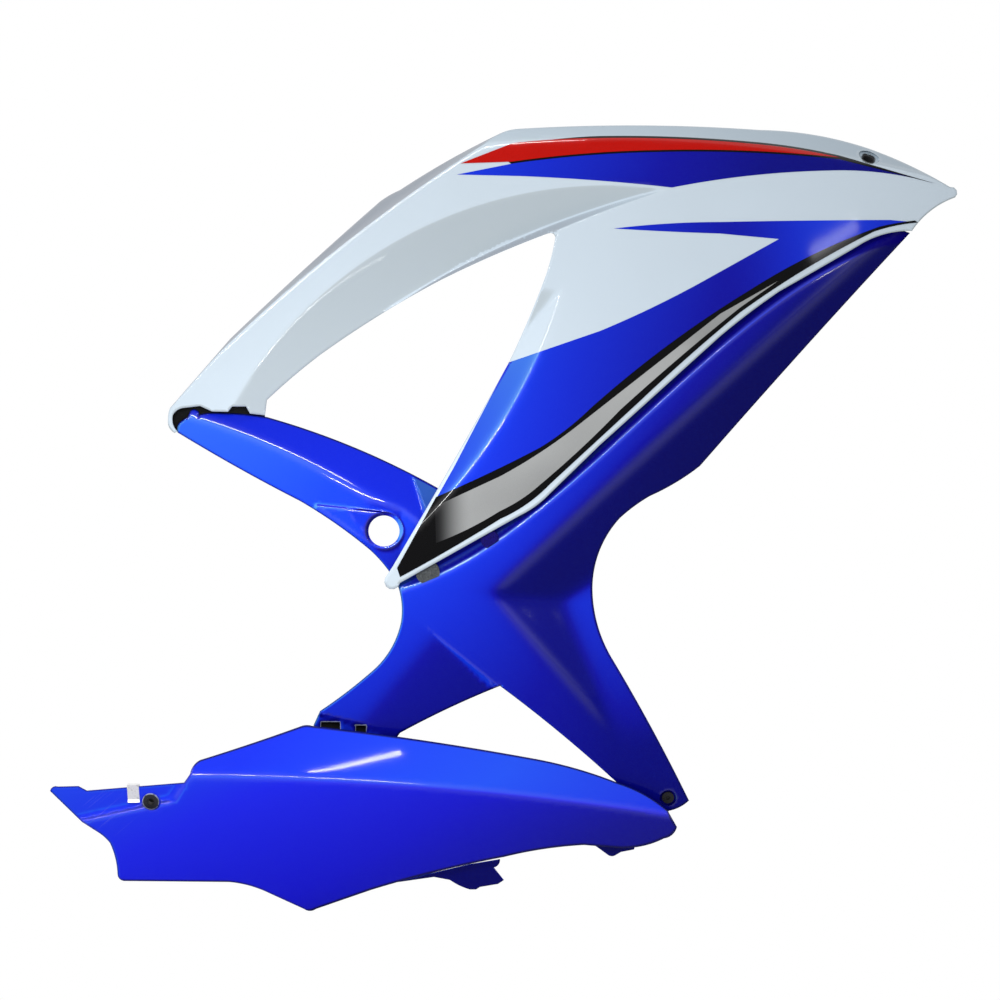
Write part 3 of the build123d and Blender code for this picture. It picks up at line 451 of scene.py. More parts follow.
# Triangles over an outline with its holes, as points seen from the side
def fillOutline(loop, holes=(), marks=(), extra=(), rows=()):
    step = shell["gridStep"]
    rings = []
    following = np.roll(loop, -1, axis=0)
    run = following - loop
    length = np.maximum(np.hypot(run[:, 0], run[:, 1]), 1e-6)
    inward = np.column_stack([run[:, 1], -run[:, 0]]) / length[:, None]
    middle = (loop + following) / 2
    for inset in shell["ringInsets"]:
        ring = middle + inward * inset
        near = loopDistance(loop, ring[:, 0], ring[:, 1])
        keep = (near > inset - 0.06) & insideLoop(loop, ring[:, 0], ring[:, 1])
        rings.append(ring[keep])
    low, high = loop.min(axis=0), loop.max(axis=0)
    grid = []
    for row, z in enumerate(np.arange(low[1], high[1], step * 0.866)):
        columns = np.arange(low[0] + (row % 2) * step / 2, high[0], step)
        grid.append(np.column_stack([columns, np.full(len(columns), z)]))
    grid = np.vstack(grid)
    grid = grid[insideLoop(loop, grid[:, 0], grid[:, 1])]
    clear = loopDistance(loop, grid[:, 0], grid[:, 1]) > shell["gridClear"]
    for other in [*holes, *marks, *extra]:
        clear &= loopDistance(other, grid[:, 0], grid[:, 1]) > step * 0.3
    grid = grid[clear]
    for row in rows:
        row = row[insideLoop(loop, row[:, 0], row[:, 1])]
        row = row[loopDistance(loop, row[:, 0], row[:, 1]) > shell["rowClear"]]
        if len(row):
            tree = kdtree.KDTree(len(row))
            for i, (px, pz) in enumerate(row):
                tree.insert((px, pz, 0), i)
            tree.balance()
            grid = np.array([p for p in grid if tree.find((p[0], p[1], 0))[2] > shell["rowRoom"]])
            rings.append(row)
    points = np.vstack(rings + [grid, *extra])
    for hole in holes:
        away = loopDistance(hole, points[:, 0], points[:, 1]) > shell["holeClear"]
        points = points[away & ~insideLoop(hole, points[:, 0], points[:, 1])]
    for mark in marks:
        points = points[loopDistance(mark, points[:, 0], points[:, 1]) > shell["holeClear"]]
    chains = [loop, *holes, *marks]
    edges, first = [], 0
    for chain in chains:
        count = len(chain)
        edges += [(first + i, first + (i + 1) % count) for i in range(count)]
        first += count
    flat = np.vstack(chains + [points])
    found = delaunay_2d_cdt([Vector(p) for p in flat], edges, [], 0, 1e-4)
    where = np.array([tuple(p) for p in found[0]])
    faces = np.array(found[2])
    centre = where[faces].mean(axis=1)
    keep = insideLoop(loop, centre[:, 0], centre[:, 1])
    for hole in holes:
        keep &= ~insideLoop(hole, centre[:, 0], centre[:, 1])
    return where, faces[keep], centre[keep]


# Closed shell between a front and a back depth; marks are values kept on its outer points
def makeShell(name, where, faces, front, back, materials, marks=None, darkHoleRim=None):
    used, inverse = np.unique(faces.ravel(), return_inverse=True)
    faces = inverse.reshape(-1, 3)
    where, front, back = where[used], front[used], back[used]
    a, b, c = where[faces[:, 0]], where[faces[:, 1]], where[faces[:, 2]]
    turn = (b[:, 0] - a[:, 0]) * (c[:, 1] - a[:, 1]) - (b[:, 1] - a[:, 1]) * (c[:, 0] - a[:, 0])
    faces[turn < 0] = faces[turn < 0][:, ::-1]  # anticlockwise from the side, so a face points out
    count = len(where)
    seen = {(face[i], face[(i + 1) % 3]) for face in faces.tolist() for i in range(3)}
    rim = sorted(edge for edge in seen if (edge[1], edge[0]) not in seen)
    outer = np.column_stack([where[:, 0], front, where[:, 1]])
    inner = np.column_stack([where[:, 0], back, where[:, 1]])
    polygons = faces.tolist() + (faces[:, ::-1] + count).tolist()
    kinds = [0] * len(faces) + [1] * len(faces)
    # rim faces round a marked hole take the second, black material, which also stands in for the shade in the
    # hole
    darkHole = np.zeros(count, dtype=bool) if darkHoleRim is None else darkHoleRim[used]
    for start, end in rim:
        polygons.append([start, start + count, end + count, end])
        kinds.append(1 if darkHole[start] and darkHole[end] else 0)
    mesh = bpy.data.meshes.new(name)
    mesh.from_pydata((np.vstack([outer, inner]) / 1000).tolist(), [], polygons)
    for material in materials:
        mesh.materials.append(material)
    mesh.polygons.foreach_set("material_index", [min(kind, len(materials) - 1) for kind in kinds])
    mesh.polygons.foreach_set("use_smooth", [True] * len(polygons))
    for key, values in (marks or {}).items():
        values = values[used]
        kept = mesh.attributes.new(key, "FLOAT", "POINT")
        kept.data.foreach_set("value", np.concatenate([values, 0 * values]))
    mesh.set_sharp_from_angle(angle=radians(50))
    mesh.update()
    return linkPiece(name, mesh)


def linkPiece(name, mesh):
    piece = bpy.data.objects.new(name, mesh)
    scene.collection.objects.link(piece)
    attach(piece, "root")
    return piece


def loopOn(seat, loop, sink):  # a loop in a flat, sunk inboard, in metres
    base = seat["at"] - seat["out"] * float(sink)
    return [(base + seat["right"] * float(u) + seat["up"] * float(v)) / 1000 for u, v in loop]


# Straight blocks on flats: each is a flat, a loop in it and how deep its two ends are sunk
def makeBlocks(name, blocks, material, bevel=0.35):
    vertices, polygons = [], []
    for seat, loop, near, far in blocks:
        first, count = len(vertices), len(loop)
        for sink in (near, far):
            vertices += loopOn(seat, loop, sink)
        polygons.append(list(range(first, first + count)))
        polygons.append(list(range(first + 2 * count - 1, first + count - 1, -1)))
        for i in range(count):
            j = (i + 1) % count
            polygons.append([first + i, first + count + i, first + count + j, first + j])
    mesh = bpy.data.meshes.new(name)
    mesh.from_pydata(vertices, [], polygons)
    mesh.materials.append(material)
    piece = linkPiece(name, mesh)
    turnEdges = piece.modifiers.new("turnedEdges", "BEVEL")
    turnEdges.width, turnEdges.segments, turnEdges.limit_method = bevel / 1000, 2, "ANGLE"
    return piece


def makeTube(name, seat, inner, outer, near, far, material):
    vertices, polygons = [], []
    profile = [(outer, near), (outer, far), (inner, far), (inner, near)]
    count = 48
    for radius, sink in profile:
        vertices += loopOn(seat, circleLoop(radius, count), sink)
    for ring in range(4):
        here, there = ring * count, (ring + 1) % 4 * count
        for i in range(count):
            j = (i + 1) % count
            polygons.append([here + i, there + i, there + j, here + j])
    mesh = bpy.data.meshes.new(name)
    mesh.from_pydata(vertices, [], polygons)
    mesh.materials.append(material)
    mesh.polygons.foreach_set("use_smooth", [True] * len(polygons))
    mesh.set_sharp_from_angle(angle=radians(40))
    return linkPiece(name, mesh)


def edgeTurn(distance, radius):  # how far a rounded edge falls away
    reach = np.clip(radius - distance, 0, radius)
    return radius - np.sqrt(np.maximum(radius**2 - reach**2, 0))


# A socket of a node tree, so that maths on it reads as Python
class Tone:
    def __init__(self, tree, socket=None):
        self.tree, self.socket = tree, socket

    def node(self, kind, settings=None, inputs=None, output=0):
        made = self.tree.nodes.new(kind)
        for key, value in (settings or {}).items():
            if key == "stops":
                elements = made.color_ramp.elements
                elements[0].position, elements[0].color = value[0]
                elements[1].position, elements[1].color = value[-1]
                for position, colour in value[1:-1]:
                    elements.new(position).color = colour
            else:
                setattr(made, key, value)
        for key, value in (inputs or {}).items():
            if isinstance(value, Tone):
                self.tree.links.new(value.socket, made.inputs[key])
            else:
                made.inputs[key].default_value = value
        return Tone(self.tree, made.outputs[output])

    def math(self, operation, *values):
        return self.node("ShaderNodeMath", {"operation": operation}, dict(enumerate(values)))

    def __add__(self, other):
        return self.math("ADD", self, other)

    def __radd__(self, other):
        return self.math("ADD", other, self)

    def __sub__(self, other):
        return self.math("SUBTRACT", self, other)

    def __rsub__(self, other):
        return self.math("SUBTRACT", other, self)

    def __mul__(self, other):
        return self.math("MULTIPLY", self, other)

    def __rmul__(self, other):
        return self.math("MULTIPLY", other, self)

    def atMost(self, other):
        return self.math("MINIMUM", self, other)

    def between(self, low, high):
        smooth = {"interpolation_type": "SMOOTHSTEP"}
        return self.node("ShaderNodeMapRange", smooth, {0: self, 1: low, 2: high})

    def mix(self, first, second):  # this is the factor
        return self.node("ShaderNodeMix", {"data_type": "RGBA"}, {0: self, 6: first, 7: second}, 2)

    def feed(self, shader, name):
        self.tree.links.new(self.socket, shader.inputs[name])


def startMaterial(name, **sockets):
    material = bpy.data.materials.new(name)
    material.use_nodes = True
    shader = material.node_tree.nodes["Principled BSDF"]
    for key, value in sockets.items():
        shader.inputs[key.replace("_", " ")].default_value = value
    return material, shader, Tone(material.node_tree)


def objectPlace(maker):
    return maker.node("ShaderNodeTexCoord", output=3)


def placeAlong(maker):  # metres forward
    return maker.node("ShaderNodeSeparateXYZ", {}, {0: objectPlace(maker)}, 0)


def facing(maker):  # which way the surface faces, as x and z
    normal = maker.node("ShaderNodeNewGeometry", output=1)
    return [maker.node("ShaderNodeSeparateXYZ", {}, {0: normal}, i) for i in (0, 2)]


def noise(maker, scale, detail=2.0, place=None):
    place = place or objectPlace(maker)
    return maker.node("ShaderNodeTexNoise", {}, {"Vector": place, "Scale": scale, "Detail": detail})


def distanceTo(maker, place, spot):
    return maker.node("ShaderNodeVectorMath", {"operation": "DISTANCE"}, {0: place, 1: spot}, 1)


def bump(maker, shader, strength, distance, height):
    relief = {"Strength": strength, "Distance": distance, "Height": height}
    maker.node("ShaderNodeBump", {}, relief).feed(shader, "Normal")


def shade(colour, share):  # the colour made darker or paler
    return tuple(c * share for c in colour[:3]) + (1,)


def keptMark(maker, name):  # a value kept on the piece's points
    return maker.node("ShaderNodeAttribute", {"attribute_name": name}, {}, 2)


def scratchMask(maker, spot, radius, angle, fineness):  # fine lines one way, near a spot
    turned = maker.node("ShaderNodeMapping", {"vector_type": "TEXTURE"},
                        {0: objectPlace(maker), 2: (0, radians(-angle), 0), 3: (0.12, 1, 1 / fineness)})
    lines = noise(maker, 1.0, 2.0, turned).between(0.63, 0.70)
    flatten = {0: objectPlace(maker), 1: (1, 0, 1)}
    side = maker.node("ShaderNodeVectorMath", {"operation": "MULTIPLY"}, flatten)
    away = distanceTo(maker, side, (spot[0], 0, spot[1]))
    return lines * (1 - away.between(radius * 0.4, radius))


# Clear coat: a thin gloss on the flats, full on the ridges
coat = {"flat": 0.15, "ridge": 0.95, "rough": 0.07}


def startPaint(name, under=0.0):  # under is the gloss below the clear coat
    return startMaterial(name, Coat_Roughness=coat["rough"], Specular_IOR_Level=under)


def clearCoat(maker, gloss):
    return gloss + (coat["ridge"] - gloss) * keptMark(maker, "shine")


# Blue paint with painted light and shade by facing: pale where it faces up and to the rear, navy where it
# turns down and forward
blueLook = {
    "low": -0.7, "span": 1.4, "rise": 0.6, "upTurn": (0.12, 0.3), "steepTurn": (0.46, 0.6),
    "flakeShare": 0.1, "paintedShadeShare": 0.9, "edgeShare": 0.8, "wearAndHighlightShare": 0.5, "scratchShare": 0.22,
    "mid": [(-0.66, (0.0016, 0.0003, 0.108, 1)), (-0.26, (0.0018, 0.0010, 0.21, 1)),
            (-0.15, (0.0040, 0.0030, 0.34, 1)),
            (-0.04, (0.0055, 0.020, 0.58, 1)), (0.10, (0.0095, 0.055, 0.86, 1)),
            (0.26, (0.045, 0.20, 0.82, 1)),
            (0.62, (0.085, 0.30, 0.74, 1))],
    # the belly stops are paler than the middle ones for the same facing: painted light
    "belly": [(-0.42, (0.0030, 0.0010, 0.13, 1)), (-0.33, (0.0045, 0.0025, 0.30, 1)),
              (-0.23, (0.0055, 0.0045, 0.62, 1)),
              (-0.10, (0.0080, 0.014, 0.82, 1)), (0.12, (0.0120, 0.080, 0.86, 1)),
              (0.34, (0.0055, 0.028, 0.82, 1))],
    "up": (0.0042, 0.016, 0.58, 1), "steep": (0.008, 0.014, 0.20, 1), "groove": (0.0035, 0.0008, 0.17, 1),
    "edge": (0.0010, 0.0006, 0.05, 1), "flake": (0.02, 0.10, 0.9, 1), "chipAndHighlight": (0.62, 0.68, 0.74, 1),
}


def bluePaint(name, stops="mid", lift=0.0, scratches=(), noseLightLift=None, gloss=coat["flat"]):
    look = blueLook
    material, shader, maker = startPaint(name)
    turnX, turnZ = facing(maker)
    # painted light and shade: the tone follows which way the surface faces
    tone = turnZ * look["rise"] - turnX + (lift - look["low"])
    # painted light: paler towards the nose
    if noseLightLift:
        tone = tone + placeAlong(maker).between(noseLightLift[0], noseLightLift[1]) * noseLightLift[2]
    scaled = [((at - look["low"]) / look["span"], colour) for at, colour in look[stops]]
    colour = maker.node("ShaderNodeValToRGB", {"stops": scaled}, {0: tone * (1 / look["span"])})
    # painted shade where the surface faces up, darker still on steep upward faces
    if stops == "mid":
        colour = turnZ.between(*look["upTurn"]).mix(colour, look["up"])
    colour = turnZ.between(*look["steepTurn"]).mix(colour, look["steep"])
    flake = noise(maker, 2400.0, 1.0)
    colour = (flake.between(0.45, 0.75) * look["flakeShare"]).mix(colour, look["flake"])
    # painted shade in the seam groove, on the root facet and in the leg screw's recess
    colour = (keptMark(maker, "groove") * look["paintedShadeShare"]).mix(colour, look["groove"])
    # painted shade: darker along the outline, where the edge turns away
    colour = (keptMark(maker, "rim") * look["edgeShare"]).mix(colour, look["edge"])
    # chipped paint along the edges; the pale rims round the slots are a painted highlight
    wear = (keptMark(maker, "wear") * noise(maker, 160.0, 4.0)).between(0.42, 0.6) * look["wearAndHighlightShare"]
    rough = 0.36 + 0.08 * flake
    for spot, radius, angle, fineness in scratches:
        mask = scratchMask(maker, spot, radius, angle, fineness)
        wear = wear.math("MAXIMUM", wear, mask * look["scratchShare"])
        rough = rough + mask * 0.3
    wear.mix(colour, look["chipAndHighlight"]).feed(shader, "Base Color")
    rough.feed(shader, "Roughness")
    (clearCoat(maker, gloss) * (1 - 0.9 * keptMark(maker, "groove"))).feed(shader, "Coat Weight")
    return material


# White paint with painted shade by facing: darker where it faces down and where it faces up, darkest on
# upward faces turned to the rear
whiteLook = {"main": (0.60, 0.695, 0.78, 1), "under": (0.49, 0.56, 0.605, 1), "top": (0.50, 0.59, 0.67, 1),
             "rearTop": (0.35, 0.38, 0.43, 1), "darkHole": (0.004, 0.004, 0.005, 1),
             "underTurn": (-0.08, -0.22), "rearTurn": (-0.2, -0.45), "topTurn": (0.35, 0.6),
             "cloudShare": 0.12}


def whitePaint():
    look = whiteLook
    material, shader, maker = startPaint("whitePaint")
    turnX, turnZ = facing(maker)
    # painted shade by which way the surface faces
    colour = turnZ.between(*look["underTurn"]).mix(look["main"], look["under"])
    steep = turnX.between(*look["rearTurn"]).mix(look["top"], look["rearTop"])
    colour = turnZ.between(*look["topTurn"]).mix(colour, steep)
    cloud = noise(maker, 7.0)
    colour = (cloud.between(0.4, 0.7) * look["cloudShare"]).mix(colour, look["under"])
    # painted shade: the paint turns black round the nose hole
    keptMark(maker, "hole").mix(colour, look["darkHole"]).feed(shader, "Base Color")
    clearCoat(maker, coat["flat"]).feed(shader, "Coat Weight")
    (0.37 + 0.06 * cloud).feed(shader, "Roughness")
    return material


def filmPaint(name, colour, rough):
    material, shader, maker = startPaint(name)
    grain = noise(maker, 1800.0, 1.0)
    grain.between(0.4, 0.7).mix(colour, shade(colour, 0.84)).feed(shader, "Base Color")
    (rough - 0.03 + 0.06 * grain).feed(shader, "Roughness")
    clearCoat(maker, coat["flat"]).feed(shader, "Coat Weight")
    return material


silverLook = {"bright": (0.42, 0.43, 0.43, 1), "dull": (0.19, 0.195, 0.195, 1),
              "black": (0.003, 0.003, 0.004, 1),
              "fadeX": (0.052, 0.088)}


def silverPaint():  # silver that fades to black at its rear end
    look = silverLook
    material, shader, maker = startPaint("silverFade", 0.1)
    grain = noise(maker, 1500.0, 2.0)
    sheen = noise(maker, 9.0, 1.0)
    colour = (sheen.between(0.3, 0.7) * 0.5 + grain * 0.25).mix(look["bright"], look["dull"])
    placeAlong(maker).between(*look["fadeX"]).mix(look["black"], colour).feed(shader, "Base Color")
    (0.32 + 0.1 * grain).feed(shader, "Roughness")
    clearCoat(maker, coat["flat"]).feed(shader, "Coat Weight")
    return material


def rawPlastic(name, colour):
    material, shader, maker = startMaterial(name, Specular_IOR_Level=0.25)
    grain, wornAndGlint = noise(maker, 900.0, 3.0), noise(maker, 14.0, 4.0)
    wornAndGlint.between(0.45, 0.7).mix(colour, shade(colour, 1.6)).feed(shader, "Base Color")
    (0.55 + 0.12 * grain).feed(shader, "Roughness")
    bump(maker, shader, 0.12, 0.0003, grain)
    return material


def metal(name, colour, rough, metallic=1.0):
    material, shader, maker = startMaterial(name, Metallic=metallic)
    scuff = noise(maker, 420.0, 4.0)
    scuff.between(0.5, 0.75).mix(colour, shade(colour, 0.7)).feed(shader, "Base Color")
    (rough + 0.15 * scuff).feed(shader, "Roughness")
    return material


def softBlack(name, colour, scale, strength):
    material, shader, maker = startMaterial(name, Roughness=0.85, Specular_IOR_Level=0.15)
    fibre = noise(maker, scale, 5.0)
    fibre.between(0.3, 0.75).mix(colour, shade(colour, 2.4)).feed(shader, "Base Color")
    bump(maker, shader, strength, 0.0006, fibre)
    return material


# Black rubber with a pale ring at its lip: a painted highlight, broken up by noise
def ringedRubber(centre, inner, outer):
    material, shader, maker = startMaterial("ringedRubber")
    centre = tuple(v / 1000 for v in centre)
    away = distanceTo(maker, objectPlace(maker), centre)
    wornAndGlint = away.between(inner / 1000, outer / 1000) * noise(maker, 300.0, 3.0).between(0.3, 0.5)
    wornAndGlint.mix((0.004, 0.004, 0.008, 1), (0.40, 0.44, 0.55, 1)).feed(shader, "Base Color")
    (0.55 - 0.2 * wornAndGlint).feed(shader, "Roughness")
    return material


midBlue = bluePaint("middleBlue", "mid")
bellyBlue = bluePaint("bellyBlue", "belly", 0.0, [((-0.274, -0.277), 0.03, 40, 1700)], None, 0.3)
fieldBlue = bluePaint("fieldBlue", "mid", -0.02, (), (0.33, 0.47, 0.3))
spearBlue = bluePaint("spearBlue", "mid", -0.12)
# a shaded copy of the blue: painted shade for tabs that sit back in shadow
shadedTabBlue = bluePaint("shadedTabBlue", "mid", -0.3)
white = whitePaint()
black = filmPaint("glossBlack", (0.002, 0.002, 0.0025, 1), 0.4)
red = filmPaint("racingRed", (0.53, 0.0045, 0.0015, 1), 0.4)
silver = silverPaint()
rawBlack = rawPlastic("blackMoulding", (0.016, 0.016, 0.018, 1))
zinc = metal("zincPlate", (0.62, 0.62, 0.58, 1), 0.28)
bright = metal("brightPlate", (0.88, 0.88, 0.89, 1), 0.3)
blackOxide = metal("blackOxide", (0.012, 0.012, 0.014, 1), 0.35, 0.4)
rubber = ringedRubber(flangeHole["seat"]["at"], 7.7, 8.5)
felt = softBlack("felt", (0.042, 0.046, 0.048, 1), 800.0, 0.7)
# navy felt for the front pad, coloured like the shaded groove it sits in: painted shade
navyShadeFelt = softBlack("navyShadeFelt", (0.003, 0.001, 0.07, 1), 800.0, 0.7)
# black foam; where it is used it also stands in for shade
foam = softBlack("foam", (0.003, 0.003, 0.003, 1), 900.0, 0.5)

nodeFinishes = {
    "seam_screws": zinc, "leg_screw": blackOxide, "leg_clip_nut": zinc, "rear_grommet": rubber,
    "rear_collar": blackOxide,
    "rear_spring_clip": bright, "rear_felt_pad": felt, "front_felt_pad": navyShadeFelt,
}
for nodeName, finish in nodeFinishes.items():
    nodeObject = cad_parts[nodeName]
    nodeObject.data.materials.clear()
    nodeObject.data.materials.append(finish)
print("finishes ready")

# Colour bands on the upper panel
bands = {
    "foot": [(534, 308.5, -1.4), (490, 299.5, -3.4), (356, 218.5, -1.2), (256, 130, 0), (166, 47, 3),
             (116, 12, 1), (16, -46, 0)],
    "border": [(13, -37, 0), (52, 34, -1.2), (156, 83.4, -1.8), (206, 122.2, 4.6), (366, 241, 4.2),
               (496, 304.5, 0.5),
               (531, 310.5, 0)],
    "silver": [(51, 24.5, 0), (116, 54.6, -2.1), (196, 107.2, 0), (336, 217, 0), (394, 250, 0),
               (356, 223.4, -1.3), (236, 121, 1.5),
               (156, 46.3, 1.8), (116, 20, 1.8), (52, -12, 0)],
    "field": [(13, -37, 0), (70, 64, 0), (124.5, 168.5, 0), (216, 200, -1.5), (316, 248, 0), (395, 292, 0),
              (336, 297.5, 0.4),
              (230, 302.5, 1.6), (336, 309, 0.4), (506, 311, 0)],
    "stripe": [(76.5, 367.6, 0), (129, 388, 1.2), (216, 393, 2), (366, 387.5, 1.7), (456, 373.5, -3),
               (276, 381, -2.4), (127, 369.3, 0)],
    "stripeBorder": [(124, 369.5, 0), (150, 389, 1), (216, 395, 2), (366, 389.5, 1.7), (456, 375.5, 0),
                     (551, 347.5, 0),
                     (456, 371.6, -3), (276, 379, -2.4), (127, 367.2, 0)],
    "spear": [(73, 356.5, 0), (127, 367.2, 2.4), (276, 379, 3), (456, 371.6, 0), (551, 347.5, -4.2),
              (446, 360.5, -3.5),
              (288, 343.5, -1.4), (136, 355, 0)],
    "thick": 0.2, "step": 2.0,
}
bandFilms = {  # outline, stand-off from the skin, finish and slot of each film
    "blue_field": (bands["field"] + bands["foot"], 0.3, fieldBlue, "blue_film"),
    "seam_band_border": (bands["border"] + bands["foot"], 0.55, black, "black_film"),
    "seam_band": (bands["silver"], 0.8, silver, "silver_film"),
    "red_stripe_border": (bands["stripeBorder"], 0.3, black, "black_film"),
    "red_stripe": (bands["stripe"], 0.55, red, "red_film"),
    "blue_spear": (bands["spear"], 0.28, spearBlue, "blue_film"),
}
bandLoops = {nodeName: traceOutline(film[0], bands["step"]) for nodeName, film in bandFilms.items()}
upperLoop = traceOutline(upperOutline, shell["outlineStep"])
midLoop = traceOutline(midOutline, shell["outlineStep"])
bellyLoop = traceOutline(bellyOutline, shell["outlineStep"])


def rimMark(distance):  # one at an edge, nothing past a little way in
    return np.clip(1 - distance / shell["rimReach"], 0, 1)


def shineMark(skin, x, z):  # one on a sharp ridge of a form, nothing on its flats and in its valleys
    bend = skin(x + 1, z) + skin(x - 1, z) + skin(x, z + 1) + skin(x, z - 1) - 4 * skin(x, z)
    return blendStep(bend, *shell["ridgeBend"])


def recessRings(hole, outer):
    soft = hole["soft"]
    radii = (outer + 0.4, outer, outer - soft / 2, outer - soft, outer - 3)
    return [seatCircle(hole["seat"], radius, 64) for radius in radii]


noseCircle = seatCircle(noseHole["seat"], noseHole["radius"], 40, noseHole["recess"])
noseRings = recessRings(noseHole, noseHole["recessRadius"])
troughFoot = (*upper["troughEdge"][:2], upper["troughEdge"][2] + 6.4)
upperRows = [arcRows(upper["armReturn"], (-174, 169), (111, 394)),
             arcRows(upper["topCrease"], (111, 388), (520, 356)),
             arcRows(upper["armRidge"], (-140, 160), (230, 348)),
             arcRows(upper["bevelCrease"], (178, 241), (34, 4)),
             arcRows(upper["troughEdge"], (-119, 116), (288, 343)),
             arcRows(troughFoot, (-119, 116), (288, 343))]
where, faces, centres = fillOutline(upperLoop, [noseCircle], bandLoops.values(), noseRings, upperRows)
x, z = where[:, 0], where[:, 1]
edge, holeEdge = loopDistance(upperLoop, x, z), loopDistance(noseCircle, x, z)
skin = upperSkin(x, z)
openEdge = insideLoop(midLoop, x, z) | (loopDistance(midLoop, x, z) < 0.5)
front = skin + edgeTurn(edge, shell["edgeRadius"]) + edgeTurn(holeEdge, noseHole["edgeRadius"])
back = skin + np.where((edge < shell["rim"]) & ~openEdge, shell["lip"], shell["wall"])
shine = np.maximum(shineMark(upperSkin, x, z), rimMark(edge))
upperPiece = makeShell("upperShell", where, faces, front, back, [white, rawBlack],
                       {"shine": shine, "hole": 1 - blendStep(holeEdge, 1.2, 2.2)}, holeEdge < 0.05)
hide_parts("upper_panel")
print("upper panel", len(upperPiece.data.polygons))

for nodeName, (outline, standOff, finish, slotName) in bandFilms.items():
    chosen = insideLoop(bandLoops[nodeName], centres[:, 0], centres[:, 1])
    filmFront = front - standOff
    film = makeShell(nodeName + "Film", where, faces[chosen], filmFront, filmFront + bands["thick"],
                     [finish], {"shine": shine})
    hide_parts(nodeName)
print("colour bands ready")

hookLoops = []
for spotX, spotZ in seamHooks["spots"]:
    seat = seamSeat(spotX, spotZ)
    slotLength = seamHooks["length"] + 2 * seamHooks["room"]
    slotHeight = seamHooks["thick"] + seamHooks["bite"] + 2 * seamHooks["room"]
    corners = boxLoop(slotLength, slotHeight, (0, seamHooks["bite"] / 2))
    sides = [seat["at"] + seat["right"] * float(u) + seat["up"] * float(v) for u, v in corners]
    hookLoops.append(np.array([(p.x, p.z) for p in sides]))
slotLoops = [boxLoop(length, height, (slotX, slotZ)) for slotX, slotZ, length, height in stripSlots]
frameCircle = circleLoop(frameHole["radius"], 72)
legCircle = seatCircle(legHole["seat"], legHole["radius"], 32, legHole["recess"])
midExtra = recessRings(legHole, legHole["recessRadius"])
midExtra += [padLoop(grow) for grow in (2.5, 1.4, 0.5, -0.3, -0.9, -1.8)]
midExtra += [circleLoop(frameHole["padRadius"] + grow, 80) for grow in (0.3, -0.6, -1.4)]
joggleX = np.arange(20, 500, 1.4)
joggleLine = np.column_stack([joggleX, seamHeight(joggleX) - mid["joggleWidth"] / mid["seamLean"]])
midRows = [arcRows(mid["elbowRidge"], (-187, 113), (40, -4)), lineRows(mid["stepHead"], mid["stepFoot"]),
           curveRows(joggleLine)]
midHoles = [frameCircle, legCircle] + slotLoops + hookLoops
where, faces, centres = fillOutline(midLoop, midHoles, [], midExtra, midRows)
x, z = where[:, 0], where[:, 1]
edge, frameEdge = loopDistance(midLoop, x, z), loopDistance(frameCircle, x, z)
slotEdge = np.min([loopDistance(loop, x, z) for loop in slotLoops], axis=0)
skin = midSkin(x, z)
front = skin + edgeTurn(edge, shell["edgeRadius"])
front = front + edgeTurn(np.minimum(frameEdge, slotEdge), frameHole["edgeRadius"])
back = skin + np.where(edge < shell["rim"], shell["lip"], shell["wall"])
# painted shade: in the groove below the seam, on the root facet by the frame hole and in the leg screw's
# recess
above = mid["seamLean"] * (z - seamHeight(x)) + mid["joggleWidth"]
groove = blendStep(above, 0.6, 3.0) * (1 - blendStep(above, 12, 15)) * blendStep(x, 4, 30)
root = mid["elbowSlope"] * outside(mid["elbowRidge"], x, z)
root = root - mid["rootSlope"] * rightOf(mid["rootHigh"], mid["rootLow"], x, z)
rootShade = 0.75 * blendStep(root, 0, 2) * (1 - blendStep(x, 70, 100)) * blendStep(z, -10, 10)
groove = np.maximum(groove, rootShade)
recess = legHole["recessRadius"]
groove = np.maximum(groove, 1 - blendStep(seatRadius(legHole["seat"], x, z), recess - 1, recess))
# edge wear, with stronger pale rims round the slots as a painted highlight
wear = np.maximum(shell["edgeWear"] * rimMark(edge), shell["slotWearAndHighlight"] * rimMark(slotEdge))
midPiece = makeShell("midShell", where, faces, front, back, [midBlue, rawBlack],
                     {"rim": rimMark(edge), "wear": wear, "groove": groove,
                      "shine": shineMark(midSkin, x, z)})
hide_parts("mid_panel")
print("middle panel", len(midPiece.data.polygons))

flangeCircle = seatCircle(flangeHole["seat"], flangeHole["radius"], 40)
bellyRows = [arcRows(belly["ridge"], (-195, -245), (260, -281)), lineRows(belly["lineRear"], belly["corner"])]
flangeRings = recessRings(flangeHole, flangeHole["roomRadius"])
where, faces, centres = fillOutline(bellyLoop, [flangeCircle], [], flangeRings, bellyRows)
x, z = where[:, 0], where[:, 1]
edge, holeEdge = loopDistance(bellyLoop, x, z), loopDistance(flangeCircle, x, z)
skin = bellySkin(x, z)
openEdge = insideLoop(midLoop, x, z) | insideLoop(flangeEdgeRoom, x, z)
front = skin + edgeTurn(edge, shell["edgeRadius"]) + edgeTurn(holeEdge, flangeHole["edgeRadius"])
back = skin + np.where((edge < shell["rim"]) & ~openEdge, shell["lip"], shell["wall"])
bellyPiece = makeShell("bellyShell", where, faces, front, back, [bellyBlue, rawBlack],
                       {"rim": rimMark(edge), "wear": shell["edgeWear"] * rimMark(edge),
                        "shine": shineMark(bellySkin, x, z)})
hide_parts("belly_panel")
print("belly panel", len(bellyPiece.data.polygons))

